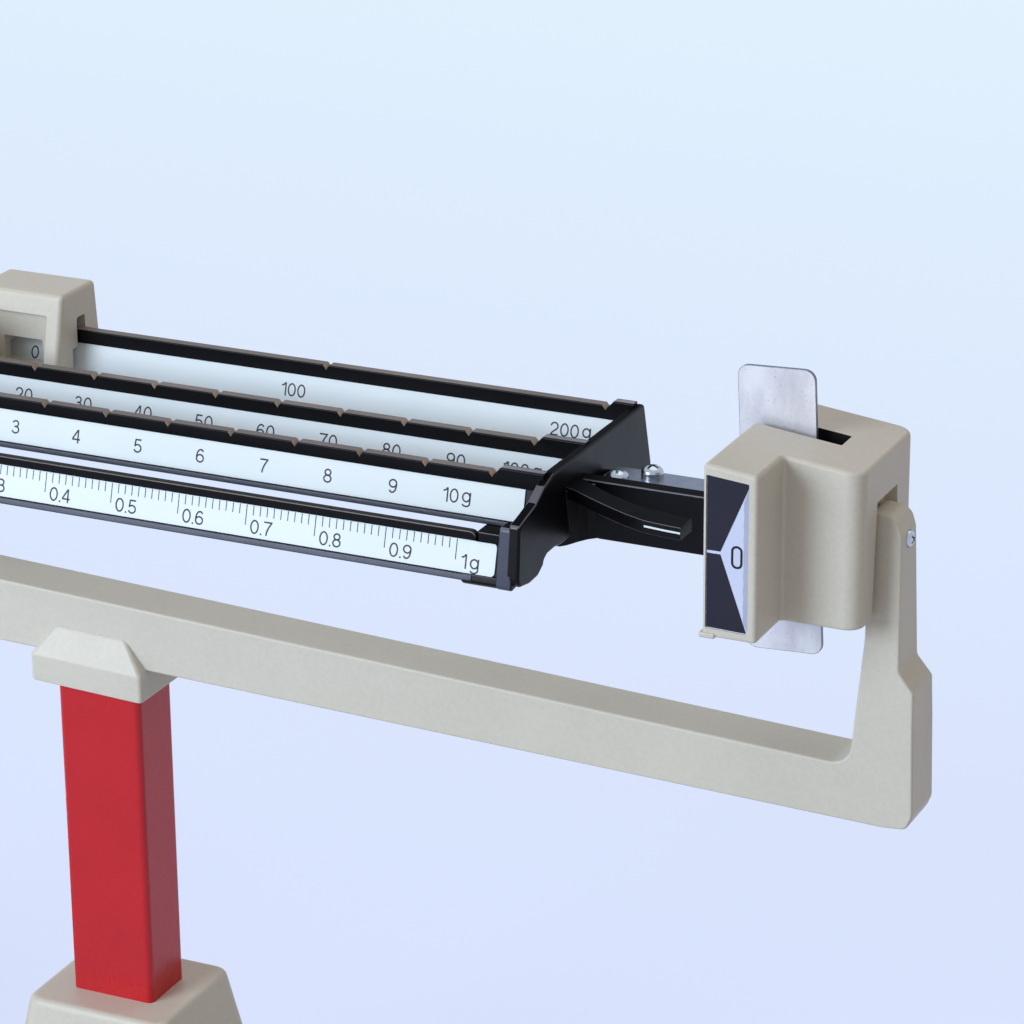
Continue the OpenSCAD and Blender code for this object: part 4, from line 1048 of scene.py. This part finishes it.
def make_poise(name, x, rail, length, window, front, back, slope, high, deep, r=1.1):
    """Beige block with a passage for its rail and lip, and a two-step window over the scale."""
    y = RAILS[rail].y
    gap = 0.6
    top, low = KNIFE_Z + high, KNIFE_Z - deep
    tall = top - low
    outline = Outline([(y - front, top), (y + back, top), (y + back + slope * tall * 0.4, low),
                       (y - front - slope * tall, low)], [r, r, r * 0.7, r * 0.7], 5)
    body = prism(outline, x - length / 2, x + length / 2, "X", r * 0.9, r * 0.9, 4)
    lip = y + WEB_FRONT - LIP_OUT - LEAN * 9.1 - gap
    roof, sill, open_below = CREST_Z + 3.6, CREST_LOW - 1, 180
    near, far = y - CREST_HALF - gap, y + CREST_HALF + gap
    passage = prism(Outline([(near, sill), (near, roof), (far, roof), (far, open_below), (lip, open_below),
                             (lip, sill)], [0.3, 0.8, 0.8, 0, 0, 0.3], 3), x - length, x + length, "X")
    foot = CREST_LOW - 5
    half, half_in = window / 2, window * 0.32
    recess = block((x - half, y - front - 20, foot), (x + half, y - front + 1, CREST_Z + 5.7), 0.6)
    opening = block((x - half_in, y - front - 5, foot), (x + half_in, y - 1, CREST_LOW + 1.3), 0.3)
    piece(name + "_body", body, BEIGE, name, [name], cuts=[passage, recess, opening])


def make_poises():
    zero = LAST_NOTCH - 10 * NOTCH_PITCH
    zero_200 = LAST_NOTCH_200 - 2 * NOTCH_PITCH_200
    zero_1 = LAST_TICK - 10 * TICK_PITCH
    make_poise("poise_200", zero_200 - 8.3, "200", 25.2, 17.4, 8.1, 7.8, 0.24, 11.8, 18, 1.4)
    make_poise("poise_100", zero - 3, "100", 22, 12, 6.2, 5.2, 0.16, 9.6, 14.5)
    make_poise("poise_10", zero - 7.5, "10", 19, 11, 4.6, 4, 0.08, 8.6, 9.8, 0.9)
    # the 1 g poise is a bent clip that hangs over its crest
    y, top, low = RAILS["1"].y, 213.9, 203.0
    half = 4.5
    lip = y + WEB_FRONT - LIP_OUT - LEAN * 8.9
    back_in = y + CREST_HALF + 0.6
    section = Outline([(lip - 1.7, low + 2), (lip - 1.7, top + 2.4), (y + 3, top + 2.4), (y + 3, top - 1.6),
                       (back_in, top - 1.6), (back_in, top + 0.3), (lip - 0.6, top + 0.3),
                       (lip - 0.6, low + 2)], [0.3, 0.8, 0.8, 0.3, 0.3, 0.2, 0.2, 0.3], 4)
    clip = prism(section, zero_1 - half, zero_1 + half, "X", 0.3)
    piece("poise_1_body", clip, BEIGE, "poise_1", ["poise_1"])


def knurled(centre, radius, length, teeth=44):
    """Knurled knob along x with chamfered ends."""
    half = length / 2
    rings = []
    for w, grow in ((-half, -0.9), (-half + 0.35, -0.25), (-half + 0.7, 0), (half - 0.7, 0),
                    (half - 0.35, -0.25), (half, -0.9)):
        ring = []
        groove = 0.35 * (1 if grow == 0 else 0.3)
        for k in range(teeth * 4):
            a = 2 * pi * k / (teeth * 4)
            r = radius + grow - (groove if k % 4 in (0, 1) else 0.0)
            ring.append((centre[0] + w, centre[1] + r * cos(a), centre[2] + r * sin(a)))
        rings.append(ring)
    return loft(rings)


def make_load_side():
    """Pan, rest disc, bow and bearing block under the pan knife, and the knob of the zero adjustment."""
    pan_z = 32.0
    foot = 43.0
    # radius and height over the rest disc, along the underside, over the rim and back to the middle
    profile = [(0.001, 0.03), (foot - 3, 0.03), (foot - 1, 0.27), (foot + 0.6, 1.0), (48, 9.4),
               (48.6, 10.1), (49.4, 10.25), (49.9, 10.5), (49.85, 10.85), (49.2, 11.0), (48.2, 10.95),
               (47.5, 10.4), (46.9, 9.4), (foot - 0.6, 2.0), (foot - 1.8, 1.25), (foot - 3.6, 1.0),
               (30, 1.0), (29.4, 0.86), (20, 0.86), (19.4, 1.0), (0.001, 1.0)]
    dish = turned([(r, h + pan_z) for r, h in profile], (PAN_X, 0, 0), "Z", 128)
    piece("pan_dish", dish, BRIGHT, "pan", ["pan"])
    low = 25.8
    rest = [(1.65, low), (30.8, low), (31.4, 26.3), (31.4, 31.4), (30.8, pan_z), (1.65, pan_z)]
    disc = turned(rest, (PAN_X, 0, 0), "Z", 96)
    piece("pan_rest_disc", disc, BRIGHT, "hanger", ["pan_rest"])
    half, band_t, block_low = 54.2, 1.8, KNIFE_Z - 13.5
    top = block_low - band_t
    inner = Outline([(-half, low), (half, low), (half, top), (-half, top)], [10, 10, 40, 40], 16)
    band = prism(inner.ring(-band_t), PAN_X - 4, PAN_X + 4, "X", 0.35)
    piece("bow_band", band, BRIGHT, "hanger", ["hanger_bow"],
          cuts=[prism(inner, PAN_X - 9, PAN_X + 9, "X")])
    body = block((PAN_X - 6, -15, block_low), (PAN_X + 6, 15, KNIFE_Z + 11.5), 1.2, 2.5, 4)
    way = block((PAN_X - 9, -7, KNIFE_Z - 18), (PAN_X + 9, 7, KNIFE_Z + 8.5), 1.0)
    pockets = [block((PAN_X - 4.2, a, KNIFE_Z - 6.5), (PAN_X + 4.2, b, KNIFE_Z + 5), 0.2)
               for a, b in ((-13.3, -6), (6, 13.3))]
    holes = [turned([(1.55, KNIFE_Z - 15), (1.55, KNIFE_Z - 8.5)], (PAN_X, y, 0), "Z", 24)
             for y in (-11, 11)]
    piece("hanger_block", body, BLACK, "hanger", ["hanger_head"],
          cuts=[way] + pockets + holes)
    knob_x, stud_z = -171.0, KNIFE_Z - 2
    bore = turned([(3.05, knob_x - 8), (3.05, knob_x + 8)], (0, 0, stud_z), "X", 40)
    piece("zero_knob_body", knurled((knob_x, 0, stud_z), 7, 8), ZINC, "zero_knob", ["zero_knob"],
          cuts=[bore])


def dress_nodes():
    """Pieces that keep their solid's own shape."""
    finishes = {"post_tube": RED, "fixed_feet": RUBBER, "foot_pad": RUBBER, "label_plate": PAPER,
                "damper_magnets": DARK, "zero_bush": BRASS}
    steel = ["fulcrum_bearings", "bearing_covers", "fulcrum_knife", "pan_knife", "hanger_bearings"]
    zinc = ["tie_bolt", "tie_nut", "levelling_screw", "cover_screws", "magnet_yoke", "zero_stud",
            "poise_200_rider", "poise_100_rider", "poise_10_rider", "hanger_rivets"]
    for name, finish in {**finishes, **dict.fromkeys(steel, STEEL), **dict.fromkeys(zinc, ZINC)}.items():
        obj = nodes[name]
        if not obj.material_slots:
            obj.data.materials.append(finish)
        for slot in obj.material_slots:
            slot.material = finish
        weld = obj.modifiers.new("weld", "WELD")
        weld.merge_threshold = 1e-6
        normals = obj.modifiers.new("normals", "WEIGHTED_NORMAL")
        normals.keep_sharp = True


def make_stage():
    """Pale floor, brighter with distance, that keeps the shadow of the object."""
    mesh = bpy.data.meshes.new("floor")
    mesh.from_pydata([(-6, -3, 0), (6, -3, 0), (6, 9, 0), (-6, 9, 0)], [], [(0, 1, 2, 3)])
    floor = new_object("floor", mesh)
    material = bpy.data.materials.new("floor_pale")
    tree = Tree(material)
    place = tree.node("NewGeometry").outputs["Position"]
    far = tree.node("SeparateXYZ", place).outputs["Y"]
    span = tree.node("MapRange", Value=far, **{"From Min": 0.1, "From Max": 2.0})
    stops = [(0.0, linear(213, 223, 250)), (1.0, linear(228, 249, 254))]
    tone = tree.ramp(span.outputs["Result"], stops)
    diffuse = tree.node("BsdfDiffuse", Color=tone).outputs["BSDF"]
    glow = tree.node("Emission", Color=tone, Strength=1.1).outputs["Emission"]
    seen = tree.mix_shader(0.86, diffuse, glow)
    plain = tree.node("BsdfDiffuse", Color=linear(190, 196, 206)).outputs["BSDF"]
    rays = tree.any_ray("Is Camera Ray", "Is Glossy Ray", "Is Transmission Ray")
    tree.node("OutputMaterial", Surface=tree.mix_shader(rays, plain, seen))
    mesh.materials.append(material)
    floor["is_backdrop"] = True


def make_world():
    """Warm soft light, a pale room in reflections and a sky of the far floor's tone."""
    world = bpy.data.worlds.new("studio")
    bpy.context.scene.world = world
    tree = Tree(world)
    lights = ((1.0, 0.86, 0.75, 1), 0.41), (linear(214, 228, 246), 0.9), (linear(227, 246, 254), 1.0)
    soft, shown, sky = (tree.node("Background", *light).outputs["Background"] for light in lights)
    rays = tree.any_ray("Is Camera Ray", "Is Glossy Ray", "Is Transmission Ray")
    room = tree.mix_shader(rays, soft, shown)
    final = tree.mix_shader(tree.any_ray("Is Camera Ray"), room, sky)
    tree.node("OutputWorld", Surface=final)


def area_light(name, place, target, size, power, colour):
    lamp = bpy.data.lights.new(name, "AREA")
    lamp.shape = "DISK"
    lamp.size = size
    lamp.energy = power
    lamp.color = colour
    obj = new_object(name, lamp)
    obj.location = place
    obj.rotation_euler = (Vector(target) - Vector(place)).to_track_quat("-Z", "Y").to_euler()


def make_camera():
    """Camera of the photograph: its angles, its place and its focal length in picture widths."""
    azimuth, pitch, roll = (radians(a) for a in (25.15, 20.79, -0.5))
    forward = Vector((-sin(azimuth) * cos(pitch), cos(azimuth) * cos(pitch),
                      -sin(pitch)))
    level = Vector((cos(azimuth), sin(azimuth), 0))
    upright = level.cross(forward)
    right = level * cos(roll) + upright * sin(roll)
    up = upright * cos(roll) - level * sin(roll)
    camera = new_object("camera", bpy.data.cameras.new("camera"))
    camera.data.sensor_width = 36.0
    camera.data.lens = 3900 / 1024 * 36
    camera.data.clip_start = 0.05
    camera.data.clip_end = 50
    turn = Matrix((right, up, -forward)).transposed()
    camera.matrix_world = Matrix.Translation((0.46020, -0.76131, 0.52456)) @ turn.to_4x4()
    bpy.context.scene.camera = camera


make_camera()
make_stage()
make_world()
MIDDLE = (0.05, 0, 0.18)
area_light("key", (-0.67, -1.33, 0.75), MIDDLE, 0.9, 20.8, (0.775, 0.884, 1.0))
area_light("top", (0.1, 0.5, 1.5), MIDDLE, 1.2, 2.6, (1.0, 1.0, 1.0))
make_base()
make_frame()
make_housing()
make_label()
make_screws()
make_rails()
make_end_plate()
make_pointer()
make_hub()
make_reading_line()
make_vane()
make_strips()
make_scales()
make_poises()
make_load_side()
dress_nodes()

bpy.context.scene.view_settings.view_transform = "Standard"

{"cad": [list(v) for v in cad_box], "visual": [list(v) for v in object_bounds()]}
